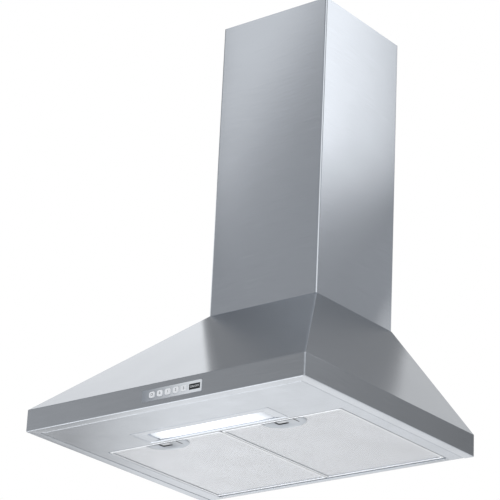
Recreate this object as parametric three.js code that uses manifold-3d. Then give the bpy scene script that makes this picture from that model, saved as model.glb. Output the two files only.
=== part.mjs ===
// A 60 cm wall-mounted chimney range hood: a pyramid canopy in brushed stainless steel, a telescoping
// chimney, two grease filters, a lamp, push buttons and a centrifugal blower.
// Millimetres. +Z is up, +Y points into the wall, and the origin is midway between the two hanging slots.
import * as THREE from "three";
import { mergeVertices } from "three/addons/utils/BufferGeometryUtils.js";
import { ConvexGeometry } from "three/addons/geometries/ConvexGeometry.js";
import Module from "manifold-3d";

const wasm = await Module();
wasm.setup();

// ---- Driving dimensions ----
const sheet = 1.2; // stainless skin
const gap = 0.3; // clearance where two pieces meet
const cut = 5; // how far a cutter runs past what it cuts
const overlap = 0.01; // how far two solids reach into each other to be joined

const hoodWidth = 598; // fits a 60 cm cabinet gap
const hoodDepth = 500;
const bandHeight = 40; // upright band round the bottom
const canopyHeight = 265; // band and pyramid together
const rimWidth = 18; // return flange under the band
const neckFlange = 12; // flange round the hole in the top of the pyramid
const neckHeight = 18; // collar that the chimney slips over

const chimneyWidth = 240;
const chimneyDepth = 235;
const chimneyLength = 585;
const chimneyReturn = 22; // the cover's flange against the wall
const chimneyBend = 3; // outside bend radius
const slideFit = 0.8; // room between the two covers
const upperLength = 556;
const upperClear = 7; // the inner cover starts this far above the neck
const ventCount = 5;
const ventWidth = 5;
const ventLength = 60;
const ventPitch = 14;
const ventFromTop = 45;

const hangHeight = 200; // hanging slots above the bottom edge
const hangSpacing = 220;
const hangHole = 5; // radius that passes the screw head
const hangSlot = 2.8; // radius that holds the screw
const hangDrop = 10;
const screwHeight = 70; // lower fixing holes
const screwSpacing = 480;
const screwHole = 4; // radius

const deckInset = 1; // gap between rim and underside panel
const deckLift = 0.2;
const deckLap = 9; // the part of the panel that lies on the rim
const seatUpstand = 7; // flange round the filter opening

const filterWidth = 250.5;
const filterDepth = 313;
const filterThick = 9;
const filterRear = 20; // rear edge of the filters, from the wall
const filterRearFit = 2; // room behind them
const filterSpacing = 2; // between the two filters
const filterSkin = 0.8;
const filterLip = 8;
const filterFit = 1.6; // room round the pair of filters
const tabWidth = 20;
const tabLength = 8;
const tabInset = 40;
const tabHeight = 5;
const railReach = 5; // how far the rear rail stands over the opening
const railThick = 1.5;
const railDepth = 12;
const railInset = 1; // the rail stops short of the opening's sides
const meshColumns = 8;
const meshRows = 12;
const meshStrand = 3; // strand between two gaps of the mesh
const meshThick = 4.5;

const latchWidth = 84;
const latchDepth = 40;
const latchShoulder = 0.3; // the part of its depth with straight sides
const latchFacets = 10;
const latchWall = 2.4;
const latchPocket = 6;
const tongueWidth = 30;
const tongueThick = 1.5;
const tongueReach = 20;
const tongueRoom = 2; // room each side of it in the panel
const fingerLip = 2.5;

const lampWidth = 300;
const lampDepth = 57;
const lampFromFilter = 8; // rear edge of the lamp frame to the filters
const lensWidth = 248;
const lensDepth = 35;
const lensRear = 3; // rear slope of the lamp frame
const lensRise = 6; // the frame slopes up this far to the lens
const lensThick = 2;
const lensFit = 0.4;
const lensLugWidth = 10; // two lugs at the front edge carry its pivots
const lensLugDepth = 6;
const lensLugHeight = 1;
const lensLugInset = 30; // from the lens's ends
const lampFlange = 7;
const lampHousingInset = 1; // the housing stands this far inside the flange's edge
const lampHousingHeight = 44;
const bulbRadius = 13;
const bulbLength = 72;
const bulbNeck = 6; // straight part of the glass beside its cap
const bulbClear = 6; // room between bulb and lens
const bulbTaper = 0.82; // part of the half turn that the glass's outline follows
const bulbFullness = 0.6; // power that fattens this outline
const bulbCapRadius = 7;
const bulbCapLength = 20;
const bulbCapTip = 3; // height of the cap's tapered end
const holderRadius = 14.5;
const holderLength = 24;
const holderDepth = 4; // depth of its socket
const holderEdge = 2; // width of its bevel

const panelWidth = 127;
const panelHeight = 20;
const panelOffset = 26.5; // centre of the control panel, right of the hood's centre
const panelLift = 20;
const panelThick = 0.8;
const panelCorner = 2;
const buttonCount = 5;
const buttonPitch = 17;
const firstButton = -15;
const buttonWidth = 12;
const buttonHeight = 10.5;
const buttonRadius = 3;
const buttonBevel = 0.8;
const buttonProud = 1.2;
const buttonLength = 12;
const buttonTravel = 2.5;
const switchDepth = 24;
const switchHeight = 30;
const boardThick = 1.6;
const boardInset = 3; // the board is this much smaller than the switch body all round
const switchBlock = 6; // side of the small switch behind each button
const switchBlockDepth = 5;

const wheelRadius = 70;
const wheelWidth = 90;
const wheelEye = 56; // radius inside the blades
const bladeCount = 28;
const bladeThick = 1;
const bladeTurn = 13; // degrees that a blade sweeps back
const wheelDisc = 2;
const wheelRing = 4;
const ringProud = 1; // the front ring stands out past the blades
const hubRadius = 12;
const hubLength = 24;
const hubTaper = 0.75; // radius of the hub's nose against its root
const hubFit = 2; // room between the hub and the motor's side
const shaftRadius = 4;
const shaftProud = 4; // the shaft stands out of the hub's nose
const shaftShort = 6; // and ends this far inside the motor
const axisHeight = 150;
const scrollStart = 8; // room between wheel and scroll at the tongue
const scrollGrow = 34;
const scrollSide = 6; // room beside the wheel
const tongueAngle = 70;
const scrollSteps = 40;
const sideLip = 3;
const inletFlare = 14; // the ring flares out this far
const inletReach = 3; // and stands this far into the blower
const flangeThick = 1.5;
const flangeWidth = 8; // flange round the blower outlet
const motorRadius = 48;
const motorLength = 62;
const motorFins = 4;
const finDepth = 3;
const motorFlange = 3;
const motorFlangeWidth = 7;
const endCapLength = 9;
const endCapRim = 0.4; // straight part of the cap's length
const endCapTop = 0.7; // radius of its flat top against the motor's
const endCapSlots = 6;
const endCapSlotWidth = 6;
const endCapSlotFrom = 0.3; // the slots' ends against the motor's radius
const endCapSlotTo = 0.65;
const capacitorRadius = 14;
const capacitorLength = 54;
const capacitorStud = 4; // radius of its fixing stud
const capacitorStudLength = 3;
const capacitorBevel = 2;
const capacitorFit = 4; // room to the motor's flange
const capacitorAngle = 205; // degrees round the motor from +Y

const collarRadius = 75; // takes a 150 mm duct
const collarHeight = 42;
const collarWall = 2;
const collarFlange = 9;
const flapLift = 12; // flap pivots above the top plate
const flapThick = 1.5;
const flapOffset = 4; // each pivot from the middle of the collar
const flapPin = 2;
const flapLedge = 3;
const flapRoom = 0.8; // round the flaps
const plateThick = 1.5;

const boxWidth = 90;
const boxHeight = 60;
const boxDepth = 44;
const boxWall = 2;
const boxInset = 134; // from the hood's side to the middle of the supply box
const boxLift = 60;
const lidRib = 3; // depth of the lid's rib in the box
const lidRibFloor = 0.5; // the lid is thinned by the rest of its wall inside the rib
const terminalPoles = 4;
const terminalPitch = 12;
const terminalDepth = 12;
const terminalHeight = 20;
const poleWidth = 8;
const poleHeight = 14;
const poleDepth = 6;
const glandRadius = 11;
const glandShoulder = 3; // the neck through the plate is this much thinner
const glandTail = 6; // length below the plate
const glandNut = 4; // height of its nut
const glandTaper = 2;
const glandBore = 5; // radius
const glandHeight = 14;
const glandInset = 22;

const bracketHeight = 25;
const bracketEar = 30;
const bracketFromTop = 8;
const bracketFit = 3; // room between the bracket's middle and the covers' return flanges
const bracketSlot = 3; // half its width
const bracketSlotLength = 14;
const bracketSlotAt = 60;

// ---- What follows from them ----
const front = -hoodDepth;
const deckTop = deckLift + sheet;
const filterFront = -(filterRear + filterDepth);
const filterCentre = (filterWidth + filterSpacing) / 2;
const chimneyBase = canopyHeight;
const upperBase = chimneyBase + neckHeight + upperClear;
const ductY = -chimneyDepth / 2;
const plateFace = -sheet - gap; // what stands in front of the back plate starts here
const lampRearY = filterFront - lampFromFilter;
const lampFrontY = lampRearY - lampDepth;
const lensRearY = lampRearY - lensRear;
const lensFrontY = lensRearY - lensDepth;
const lensZ = deckLift + lensRise;
const scrollR0 = wheelRadius + scrollStart;
const scrollR1 = scrollR0 + scrollGrow;
const tongueY = scrollR0 * Math.cos((tongueAngle * Math.PI) / 180);
const axisY = ductY - (scrollR1 + tongueY) / 2;
const scrollHalf = wheelWidth / 2 + scrollSide;
const scrollTop = canopyHeight - gap;
const boxCentre = boxInset - hoodWidth / 2;
const collarBase = canopyHeight + plateThick;
const flapZ = collarBase + flapLift;

// ---- Materials ----
function finish(color, roughness, metalness) {
  return new THREE.MeshStandardMaterial({ color, roughness, metalness });
}
const steel = finish(0xb4b9bf, 0.32, 1);
const galvanised = finish(0x9aa0a4, 0.5, 1);
const aluminium = finish(0xc9ccd2, 0.4, 1);
const lightPlastic = finish(0xdfe3e6, 0.4, 0);
const greyPlastic = finish(0x8d9298, 0.5, 0);
const darkPlastic = finish(0x33373b, 0.55, 0);
const frosted = finish(0xf6f8fb, 0.5, 0);
const glass = finish(0xf4f2ea, 0.1, 0);
const brass = finish(0xc8a95e, 0.35, 1);
const board = finish(0x2e6b45, 0.6, 0);

// ---- Making solids ----
const rad = Math.PI / 180;
const flatOutline = { bevelEnabled: false, curveSegments: 2 };

// A closed geometry as a solid that can be joined and cut.
function solid(geometry) {
  const bare = geometry.index ? geometry.toNonIndexed() : geometry.clone();
  bare.deleteAttribute("normal");
  bare.deleteAttribute("uv");
  const merged = mergeVertices(bare, 1e-4);
  return new wasm.Manifold(
    new wasm.Mesh({
      numProp: 3,
      vertProperties: new Float32Array(merged.attributes.position.array),
      triVerts: new Uint32Array(merged.index.array),
    }),
  );
}

// A block between its limits along X, Y and Z.
function box(x0, x1, y0, y1, z0, z1) {
  const made = new THREE.BoxGeometry(x1 - x0, y1 - y0, z1 - z0);
  return solid(made.translate((x0 + x1) / 2, (y0 + y1) / 2, (z0 + z1) / 2));
}

// An outline in plan, raised from z0 to z1.
function upright(shape, z0, z1) {
  const made = new THREE.ExtrudeGeometry(shape, { depth: z1 - z0, ...flatOutline });
  return solid(made.translate(0, 0, z0));
}

// An outline seen from the side, in Y and Z, carried from x0 to x1.
function across(shape, x0, x1) {
  const made = new THREE.ExtrudeGeometry(shape, { depth: x1 - x0, ...flatOutline });
  const turn = new THREE.Matrix4().makeBasis(
    new THREE.Vector3(0, 1, 0),
    new THREE.Vector3(0, 0, 1),
    new THREE.Vector3(1, 0, 0),
  );
  return solid(made.applyMatrix4(turn).translate(x0, 0, 0));
}

// An outline seen from the front, in X and Z, carried from y0 to y1.
function inward(shape, y0, y1) {
  const made = new THREE.ExtrudeGeometry(shape, { depth: y1 - y0, ...flatOutline });
  return solid(made.rotateX(Math.PI / 2).translate(0, y1, 0));
}

// A closed profile of [radius, height] points turned about Z.
function turned(profile, segments = 32) {
  const points = profile.map(([r, z]) => new THREE.Vector2(r, z));
  if (THREE.ShapeUtils.area(points) < 0) points.reverse();
  return solid(new THREE.LatheGeometry([...points, points[0]], segments).rotateX(Math.PI / 2));
}

// An upright cylinder about the Z axis.
function rod(radius, z0, z1, segments = 24) {
  const made = new THREE.CylinderGeometry(radius, radius, z1 - z0, segments);
  return solid(made.rotateX(Math.PI / 2).translate(0, 0, (z0 + z1) / 2));
}

// Turns a solid made about Z so that its axis lies along +X.
function alongX(made) {
  return made.rotate([0, 90, 0]);
}

// A cutter for a round hole in a plate that lies against the wall.
function drill(radius, x, z) {
  return rod(radius, -cut, cut, 16).rotate([90, 0, 0]).translate([x, 0, z]);
}

// A closed outline with straight edges.
function polygon(points) {
  return new THREE.Shape(points.map(([u, v]) => new THREE.Vector2(u, v)));
}

// The outline moved inwards, each edge by its own distance.
function inset(points, distances) {
  const lines = points.map(([u, v], i) => {
    const [s, t] = points[(i + 1) % points.length];
    const length = Math.hypot(s - u, t - v);
    const normal = [-(t - v) / length, (s - u) / length];
    return { normal, offset: normal[0] * u + normal[1] * v + distances[i] };
  });
  return lines.map((line, i) => {
    const before = lines[(i + lines.length - 1) % lines.length];
    const [[a, b], [c, d]] = [before.normal, line.normal];
    const det = a * d - b * c;
    return [(before.offset * d - b * line.offset) / det, (a * line.offset - before.offset * c) / det];
  });
}

// A rectangle with round corners.
function roundedRect(x0, x1, y0, y1, r) {
  const shape = new THREE.Shape();
  shape.moveTo(x0 + r, y0);
  shape.lineTo(x1 - r, y0);
  shape.absarc(x1 - r, y0 + r, r, -Math.PI / 2, 0, false);
  shape.lineTo(x1, y1 - r);
  shape.absarc(x1 - r, y1 - r, r, 0, Math.PI / 2, false);
  shape.lineTo(x0 + r, y1);
  shape.absarc(x0 + r, y1 - r, r, Math.PI / 2, Math.PI, false);
  shape.lineTo(x0, y0 + r);
  shape.absarc(x0 + r, y0 + r, r, Math.PI, Math.PI * 1.5, false);
  return shape;
}

// The smallest convex solid round some points.
function convex(points) {
  return solid(new ConvexGeometry(points.map(([x, y, z]) => new THREE.Vector3(x, y, z))));
}

// Everything is drawn on a stand with its zero at the hood's bottom edge, and lowered to the frame's.
const hood = new THREE.Group();
const stand = new THREE.Group();
stand.position.z = -hangHeight;
hood.add(stand);

// Puts a finished solid in the hood as a named mesh.
function add(name, made, material) {
  const got = made.getMesh();
  const geometry = new THREE.BufferGeometry();
  geometry.setAttribute("position", new THREE.BufferAttribute(got.vertProperties, 3));
  geometry.setIndex(new THREE.BufferAttribute(got.triVerts, 1));
  const flat = geometry.toNonIndexed();
  flat.computeVertexNormals();
  const mesh = new THREE.Mesh(flat, material);
  mesh.name = name;
  stand.add(mesh);
}

// ---- Canopy: the pyramid is what its front outline and its side outline have in common ----
const frontOutline = [
  [-hoodWidth / 2, 0],
  [hoodWidth / 2, 0],
  [hoodWidth / 2, bandHeight],
  [chimneyWidth / 2, canopyHeight],
  [-chimneyWidth / 2, canopyHeight],
  [-hoodWidth / 2, bandHeight],
];
const sideOutline = [
  [front, 0],
  [0, 0],
  [0, canopyHeight],
  [-chimneyDepth, canopyHeight],
  [front, bandHeight],
];
const coverInside = chimneyWidth / 2 - sheet - gap;
const coverFront = -chimneyDepth + sheet + gap;

// Band, pyramid, rim and neck, all one folded skin, with a window for the buttons.
function canopyShell() {
  const outside = inward(polygon(frontOutline), front, 0).intersect(
    across(polygon(sideOutline), -hoodWidth / 2, hoodWidth / 2),
  );
  const frontInside = inset(frontOutline, frontOutline.map(() => sheet));
  const sideInside = inset(sideOutline, [sheet, -cut, sheet, sheet, sheet]);
  const cavity = inward(polygon(frontInside), front, cut).intersect(
    across(polygon(sideInside), -hoodWidth / 2, hoodWidth / 2),
  );
  const rimHole = box(
    -hoodWidth / 2 + rimWidth, hoodWidth / 2 - rimWidth,
    front + rimWidth, cut,
    -cut, sheet + cut,
  );
  const neckHole = box(
    -chimneyWidth / 2 + neckFlange, chimneyWidth / 2 - neckFlange,
    -chimneyDepth + neckFlange, -neckFlange,
    canopyHeight - cut, canopyHeight + cut,
  );
  const neck = upright(
    roundedRect(-coverInside, coverInside, coverFront, plateFace, chimneyBend),
    canopyHeight - sheet, canopyHeight + neckHeight,
  ).subtract(
    box(
      -coverInside + sheet, coverInside - sheet,
      coverFront + sheet, plateFace - sheet,
      canopyHeight - cut, canopyHeight + neckHeight + cut,
    ),
  );
  const buttons = box(
    firstButton - buttonWidth / 2 - gap, lastButton + buttonWidth / 2 + gap,
    front - cut, front + cut,
    panelLift - buttonHeight / 2 - gap, panelLift + buttonHeight / 2 + gap,
  );
  return outside.subtract(cavity).subtract(rimHole).subtract(neckHole).add(neck).subtract(buttons);
}

// The back plate closes the canopy and carries the hood on two screws.
function rearPanel() {
  const inside = frontOutline.map(() => sheet + gap);
  let plate = inward(polygon(inset(frontOutline, inside)), -sheet, 0);
  for (const side of [-1, 1]) {
    const x = (side * hangSpacing) / 2;
    const slot = roundedRect(
      x - hangSlot, x + hangSlot, hangHeight - hangDrop, hangHeight + hangSlot, hangSlot - overlap,
    );
    plate = plate.subtract(drill(hangHole, x, hangHeight - hangDrop)).subtract(inward(slot, -cut, cut));
    plate = plate.subtract(drill(screwHole, (side * screwSpacing) / 2, screwHeight));
  }
  return plate;
}

// ---- Underside ----
const seatHalf = filterWidth + filterSpacing / 2 + filterFit;
const seatFront = filterFront - filterFit;
const seatRear = -filterRear + filterRearFit + railReach;
const rimInsideX = hoodWidth / 2 - rimWidth - deckInset;
const rimInsideY = front + rimWidth + deckInset;

// The panel is dropped through the rim so that it lies flush with it, and its lap rests on the rim.
function undersidePanel() {
  const back = plateFace;
  const lapBase = sheet + gap;
  const lapTop = lapBase + sheet;
  const inside = [-rimInsideX + sheet, rimInsideX - sheet, rimInsideY + sheet, back - sheet];
  const tray = box(-rimInsideX, rimInsideX, rimInsideY, back, deckLift, lapTop);
  const hollow = box(...inside, deckTop, lapTop + cut);
  const lap = box(-rimInsideX - deckLap, rimInsideX + deckLap, rimInsideY - deckLap, back, lapBase, lapTop)
    .subtract(box(...inside, 0, lapTop + cut));
  const upstand = box(
    -seatHalf - sheet, seatHalf + sheet, seatFront - sheet, seatRear - cut, deckLift, deckTop + seatUpstand,
  );
  let opening = box(-seatHalf, seatHalf, seatFront, seatRear, -cut, deckTop + seatUpstand + cut);
  for (const side of [-1, 1]) {
    const x = side * filterCentre;
    opening = opening.add(
      box(
        x - tongueWidth / 2 - tongueRoom, x + tongueWidth / 2 + tongueRoom,
        seatFront - sheet * 2, seatFront + cut,
        deckTop, deckTop + seatUpstand + cut,
      ),
    );
  }
  const lamp = box(-lampWidth / 2, lampWidth / 2, lampFrontY, lampRearY, -cut, cut * 2);
  return tray.subtract(hollow).add(lap).add(upstand).subtract(opening).subtract(lamp);
}

// Angle bar behind the opening: the filters' rear tabs rest and turn on its front edge.
const railFront = seatRear - railReach;
const railTop = tabHeight - gap;
function filterRail() {
  const half = seatHalf - railInset;
  const ledge = box(-half, half, railFront, railFront + railDepth, railTop - railThick, railTop);
  const web = box(-half, half, railFront + railDepth - railThick, railFront + railDepth, deckTop, railTop);
  const foot = box(-half, half, seatRear + railInset, railFront + railDepth, deckTop, deckTop + railThick);
  return ledge.add(web).add(foot);
}

// ---- Grease filters ----
// Channel frame with two tabs at its rear, a pocket for the latch plate and a slot for its tongue.
function filterFrame(x) {
  const [x0, x1] = [x - filterWidth / 2, x + filterWidth / 2];
  const rear = -filterRear;
  let made = box(x0, x1, filterFront, rear, 0, filterThick);
  made = made.subtract(
    box(
      x0 + filterSkin, x1 - filterSkin, filterFront + filterSkin, rear - filterSkin,
      filterSkin, filterThick - filterSkin,
    ),
  );
  made = made.subtract(
    box(x0 + filterLip, x1 - filterLip, filterFront + filterLip, rear - filterLip, -cut, filterThick + cut),
  );
  for (const side of [-1, 1]) {
    const centre = x + side * (filterWidth / 2 - tabInset);
    made = made.add(
      box(
        centre - tabWidth / 2, centre + tabWidth / 2, rear - filterSkin, rear + tabLength,
        tabHeight, tabHeight + filterSkin,
      ),
    );
  }
  const pocket = box(
    x - latchWidth / 2 - gap, x + latchWidth / 2 + gap,
    filterFront + filterSkin, filterFront + filterLip + cut,
    -cut, filterSkin + gap,
  );
  return made.subtract(pocket).subtract(tongueSlot(x));
}

// The passage of the tongue through the filter's front edge and through the latch plate's.
function tongueSlot(x) {
  return box(
    x - tongueWidth / 2 - gap, x + tongueWidth / 2 + gap,
    filterFront - cut, filterFront + latchWall + filterSkin + cut,
    tongueZ - gap, tongueZ + tongueThick + gap,
  );
}

// The latch plate's outline: straight along the filter's front edge, bowed towards the back.
function latchOutline(x, grow) {
  const y0 = filterFront + filterSkin + gap - grow;
  const half = latchWidth / 2 + grow;
  const shoulder = y0 + latchDepth * latchShoulder;
  const rise = filterFront + filterSkin + gap + latchDepth + grow - shoulder;
  const bow = Array.from({ length: latchFacets + 1 }, (_, i) => {
    const angle = (Math.PI * i) / latchFacets;
    return [x + half * Math.cos(angle), shoulder + rise * Math.sin(angle)];
  });
  return polygon([[x - half, y0], [x + half, y0], ...bow]);
}

const tongueZ = deckTop + gap;
// Pad of stretched metal: offset rows of diamonds, left out where the latch plate sits.
function filterMesh(x) {
  const edge = filterSkin + gap;
  const [x0, x1] = [x - filterWidth / 2 + edge, x + filterWidth / 2 - edge];
  const [y0, y1] = [filterFront + edge, -filterRear - edge];
  let made = box(x0, x1, y0, y1, edge, edge + meshThick);
  const border = filterLip + meshStrand;
  const cellX = (filterWidth - 2 * border) / meshColumns;
  const cellY = (filterDepth - 2 * border) / (meshRows + 0.5);
  const [a, b] = [(cellX - meshStrand) / 2, cellY - meshStrand / 2];
  const clearY = filterFront + filterSkin + latchDepth + meshStrand + b;
  const clearX = latchWidth / 2 + meshStrand + a;
  const gaps = [];
  for (let row = 0; row < meshRows; row++) {
    const shifted = row % 2;
    for (let column = 0; column < meshColumns - shifted; column++) {
      const cx = x - filterWidth / 2 + border + (column + 0.5 + shifted / 2) * cellX;
      const cy = filterFront + border + (row + 0.75) * cellY;
      const inLatch = cy < clearY && Math.abs(cx - x) < clearX;
      if (inLatch) continue;
      const diamond = polygon([[cx - a, cy], [cx, cy - b], [cx + a, cy], [cx, cy + b]]);
      gaps.push(upright(diamond, 0, filterThick));
    }
  }
  made = made.subtract(wasm.Manifold.union(gaps));
  return made.subtract(upright(latchOutline(x, gap), -cut, filterThick + cut));
}

// Shallow pressed cup that the fingers reach into.
function latchPlate(x) {
  const made = upright(latchOutline(x, 0), 0, latchPocket + filterSkin);
  const pocket = upright(latchOutline(x, -latchWall), -cut, latchPocket);
  return made.subtract(pocket).subtract(tongueSlot(x));
}

// Sprung tongue: its lip is pulled back to let the filter down.
function latchTongue(x) {
  const lipY = filterFront + tongueReach;
  const tongue = box(
    x - tongueWidth / 2, x + tongueWidth / 2, filterFront, lipY, tongueZ, tongueZ + tongueThick,
  );
  const lip = across(
    polygon([
      [lipY - fingerLip, filterSkin],
      [lipY, filterSkin],
      [lipY, tongueZ + tongueThick],
      [lipY - fingerLip * 2, tongueZ + tongueThick],
    ]),
    x - tongueWidth / 2, x + tongueWidth / 2,
  );
  return tongue.add(lip);
}

// ---- Lamp ----
// Four-sided funnel between the rectangle at z0 and the smaller one at z1.
function funnel([ax0, ax1, ay0, ay1], z0, [bx0, bx1, by0, by1], z1) {
  return convex([
    [ax0, ay0, z0], [ax1, ay0, z0], [ax1, ay1, z0], [ax0, ay1, z0],
    [bx0, by0, z1], [bx1, by0, z1], [bx1, by1, z1], [bx0, by1, z1],
  ]);
}

// A rectangle moved out by a distance on every side.
function grown([x0, x1, y0, y1], by) {
  return [x0 - by, x1 + by, y0 - by, y1 + by];
}

const lampRect = [-lampWidth / 2 + gap, lampWidth / 2 - gap, lampFrontY + gap, lampRearY - gap];
const lensRect = [-lensWidth / 2, lensWidth / 2, lensFrontY, lensRearY];

// A rectangle raised from z0 to z1.
function slab(rect, z0, z1) {
  return box(...rect, z0, z1);
}

// Sloped frame between the panel's opening and the lens, held by a flange on the panel's upper side.
function lampBezel() {
  const skirt = slab(lampRect, deckLift, deckTop + sheet);
  const outer = funnel(lampRect, deckTop + sheet, grown(lensRect, sheet), lensZ + sheet);
  const flange = slab(grown(lampRect, lampFlange), deckTop, deckTop + sheet)
    .subtract(box(-lampWidth, lampWidth, seatFront - sheet - gap, 0, 0, deckTop + sheet + cut));
  const inner = funnel(grown(lampRect, -sheet), deckLift - overlap, lensRect, lensZ);
  return skirt.add(outer).add(flange).subtract(inner).subtract(slab(lensRect, 0, lensZ + cut));
}

// Frosted pane with two lugs over the frame's front edge, on which it swings down.
function lampLens() {
  const top = lensZ + lensThick;
  let made = slab(grown(lensRect, -lensFit), lensZ, top);
  for (const side of [-1, 1]) {
    const x = side * (lensWidth / 2 - lensLugInset);
    made = made.add(
      box(
        x - lensLugWidth / 2, x + lensLugWidth / 2,
        lensFrontY - lensLugDepth / 2, lensFrontY + lensLugDepth / 2,
        top - overlap, top + lensLugHeight,
      ),
    );
  }
  return made;
}

const housingRect = grown(lampRect, lampFlange - lampHousingInset);
// Open-bottomed tin over the bulbs.
function lampHousing() {
  const rear = seatFront - sheet - gap * 2;
  const rect = [housingRect[0], housingRect[1], housingRect[2], Math.min(housingRect[3], rear)];
  const base = deckTop + sheet;
  return slab(rect, base, base + lampHousingHeight).subtract(
    slab(grown(rect, -sheet), base - cut, base + lampHousingHeight - sheet),
  );
}

const bulbZ = lensZ + lensThick + bulbRadius + bulbClear;
const bulbY = (lensFrontY + lensRearY) / 2;
const holderEnd = housingRect[1] - sheet - gap;
// Everything on a lamp's axis is made about Z, laid along X and mirrored for the left lamp.
function onLampAxis(made, side) {
  const laid = alongX(made);
  return (side < 0 ? laid.mirror([1, 0, 0]) : laid).translate([0, bulbY, bulbZ]);
}

const holderFace = holderEnd - holderLength;
const bulbCapEnd = holderFace + holderDepth - gap;
// Socket on the housing's end wall.
function lampHolder(side) {
  return onLampAxis(
    turned([
      [0, holderEnd],
      [0, holderFace + holderDepth],
      [bulbCapRadius + gap, holderFace + holderDepth],
      [bulbCapRadius + gap, holderFace],
      [holderRadius - holderEdge, holderFace],
      [holderRadius, holderFace + holderDepth],
      [holderRadius, holderEnd],
    ], 24),
    side,
  );
}

// The bulb's metal cap, tapered to its contact.
function bulbCap(side) {
  const end = bulbCapEnd;
  return onLampAxis(
    turned([
      [0, end],
      [bulbCapRadius / 2, end],
      [bulbCapRadius, end - bulbCapTip],
      [bulbCapRadius, end - bulbCapLength],
      [0, end - bulbCapLength],
    ], 20),
    side,
  );
}

// Candle-shaped glass: its radius follows a fattened sine from the neck to the tip.
function bulbGlass(side) {
  const end = bulbCapEnd - bulbCapLength - gap;
  const profile = [[0, end], [bulbCapRadius, end]];
  const steps = 7;
  for (let i = 0; i <= steps; i++) {
    const t = i / steps;
    const radius = bulbRadius * Math.sin(Math.PI * bulbTaper * (1 - t)) ** bulbFullness;
    profile.push([i === steps ? 0 : radius, end - bulbNeck - t * (bulbLength - bulbNeck)]);
  }
  return onLampAxis(turned(profile, 16), side);
}

// ---- Control panel ----
const lastButton = firstButton + (buttonCount - 1) * buttonPitch;
const panelX0 = panelOffset - panelWidth / 2;
const panelX1 = panelOffset + panelWidth / 2;
const buttonXs = Array.from({ length: buttonCount }, (_, i) => firstButton + i * buttonPitch);

// One button's outline on the band, moved out by grow.
function buttonOutline(x, grow) {
  return roundedRect(
    x - buttonWidth / 2 - grow, x + buttonWidth / 2 + grow,
    panelLift - buttonHeight / 2 - grow, panelLift + buttonHeight / 2 + grow,
    buttonRadius + grow,
  );
}

// Thin strip on the band with a window for each button.
function controlPanel() {
  const [low, high] = [panelLift - panelHeight / 2, panelLift + panelHeight / 2];
  const plate = roundedRect(panelX0, panelX1, low, high, panelCorner);
  let made = inward(plate, front - panelThick, front);
  for (const x of buttonXs) made = made.subtract(inward(buttonOutline(x, gap), front - cut, front + cut));
  return made;
}

// Block behind the band with a blind guide for each button.
function switchBody() {
  const face = front + sheet;
  let made = box(
    panelX0, panelX1, face, face + switchDepth, panelLift - switchHeight / 2, panelLift + switchHeight / 2,
  );
  const [wide, high] = [buttonWidth / 2 + gap, buttonHeight / 2 + gap];
  const bottom = front - panelThick - buttonProud + buttonLength + buttonTravel + gap;
  for (const x of buttonXs) {
    made = made.subtract(box(x - wide, x + wide, face - cut, bottom, panelLift - high, panelLift + high));
  }
  return made;
}

// Board behind the switch body, with one small switch block behind each button.
function switchBoard() {
  const y0 = front + sheet + switchDepth + gap;
  const y1 = y0 + boardThick;
  const high = switchHeight / 2 - boardInset;
  const half = switchBlock / 2;
  let made = box(panelX0 + boardInset, panelX1 - boardInset, y0, y1, panelLift - high, panelLift + high);
  for (const x of buttonXs) {
    made = made.add(box(x - half, x + half, y1, y1 + switchBlockDepth, panelLift - half, panelLift + half));
  }
  return made;
}

// Cap with a bevelled face on a long shank that runs in the switch body.
function pushButton(x) {
  const y0 = front - panelThick - buttonProud;
  const made = new THREE.ExtrudeGeometry(buttonOutline(x, -buttonBevel), {
    depth: buttonLength - buttonBevel,
    bevelThickness: buttonBevel,
    bevelSize: buttonBevel,
    bevelSegments: 1,
    curveSegments: flatOutline.curveSegments,
  });
  const whole = solid(made.rotateX(Math.PI / 2).translate(0, y0 + buttonLength, 0));
  return whole.intersect(box(x - buttonWidth, x + buttonWidth, y0, y0 + buttonLength, 0, bandHeight));
}

// ---- Blower ----
// The scroll's radius grows evenly from the tongue round to the outlet.
function scrollRadius(angle) {
  return scrollR0 + (scrollGrow * (angle - tongueAngle)) / (360 - tongueAngle);
}

// Points of the spiral from one angle to another, in Y and Z, moved out by extra.
function spiral(from, to, extra) {
  return Array.from({ length: scrollSteps + 1 }, (_, i) => {
    const angle = from + ((to - from) * i) / scrollSteps;
    const r = scrollRadius(angle) + extra;
    return [axisY + r * Math.cos(angle * rad), axisHeight + r * Math.sin(angle * rad)];
  });
}

const outletInner = axisY + tongueY;
const outletOuter = axisY + scrollR1;
// Strip bent round the wheel and up to the outlet, with the outlet's flange.
function scrollWrap() {
  const inside = [[outletInner, scrollTop], ...spiral(tongueAngle, 360, 0), [outletOuter, scrollTop]];
  const outside = [
    [outletOuter + sheet, scrollTop],
    ...spiral(360, tongueAngle + 2, sheet),
    [outletInner - sheet, axisHeight + scrollR0 * Math.sin(tongueAngle * rad) + sheet * 3],
    [outletInner - sheet, scrollTop],
  ];
  const strip = across(polygon([...inside, ...outside]), -scrollHalf, scrollHalf);
  const flange = box(
    -scrollHalf - sheet - flangeWidth, scrollHalf + sheet + flangeWidth,
    outletInner - sheet - flangeWidth, outletOuter + sheet + flangeWidth,
    scrollTop - flangeThick, scrollTop,
  ).subtract(
    box(
      -scrollHalf - sheet - gap, scrollHalf + sheet + gap, outletInner - sheet / 2, outletOuter + sheet / 2,
      scrollTop - cut, scrollTop + cut,
    ),
  );
  return strip.add(flange);
}

// Outline of the scroll's two side plates, with a lip outside the strip.
function sideOutlineOfScroll() {
  return polygon([
    [outletOuter + sheet, scrollTop - flangeThick - gap],
    [outletInner - sheet, scrollTop - flangeThick - gap],
    [outletInner - sheet, axisHeight + scrollR0 + sheet + sideLip],
    ...spiral(tongueAngle + 4, 360, sheet + sideLip),
    [outletOuter + sheet, axisHeight + cut],
  ]);
}

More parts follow.
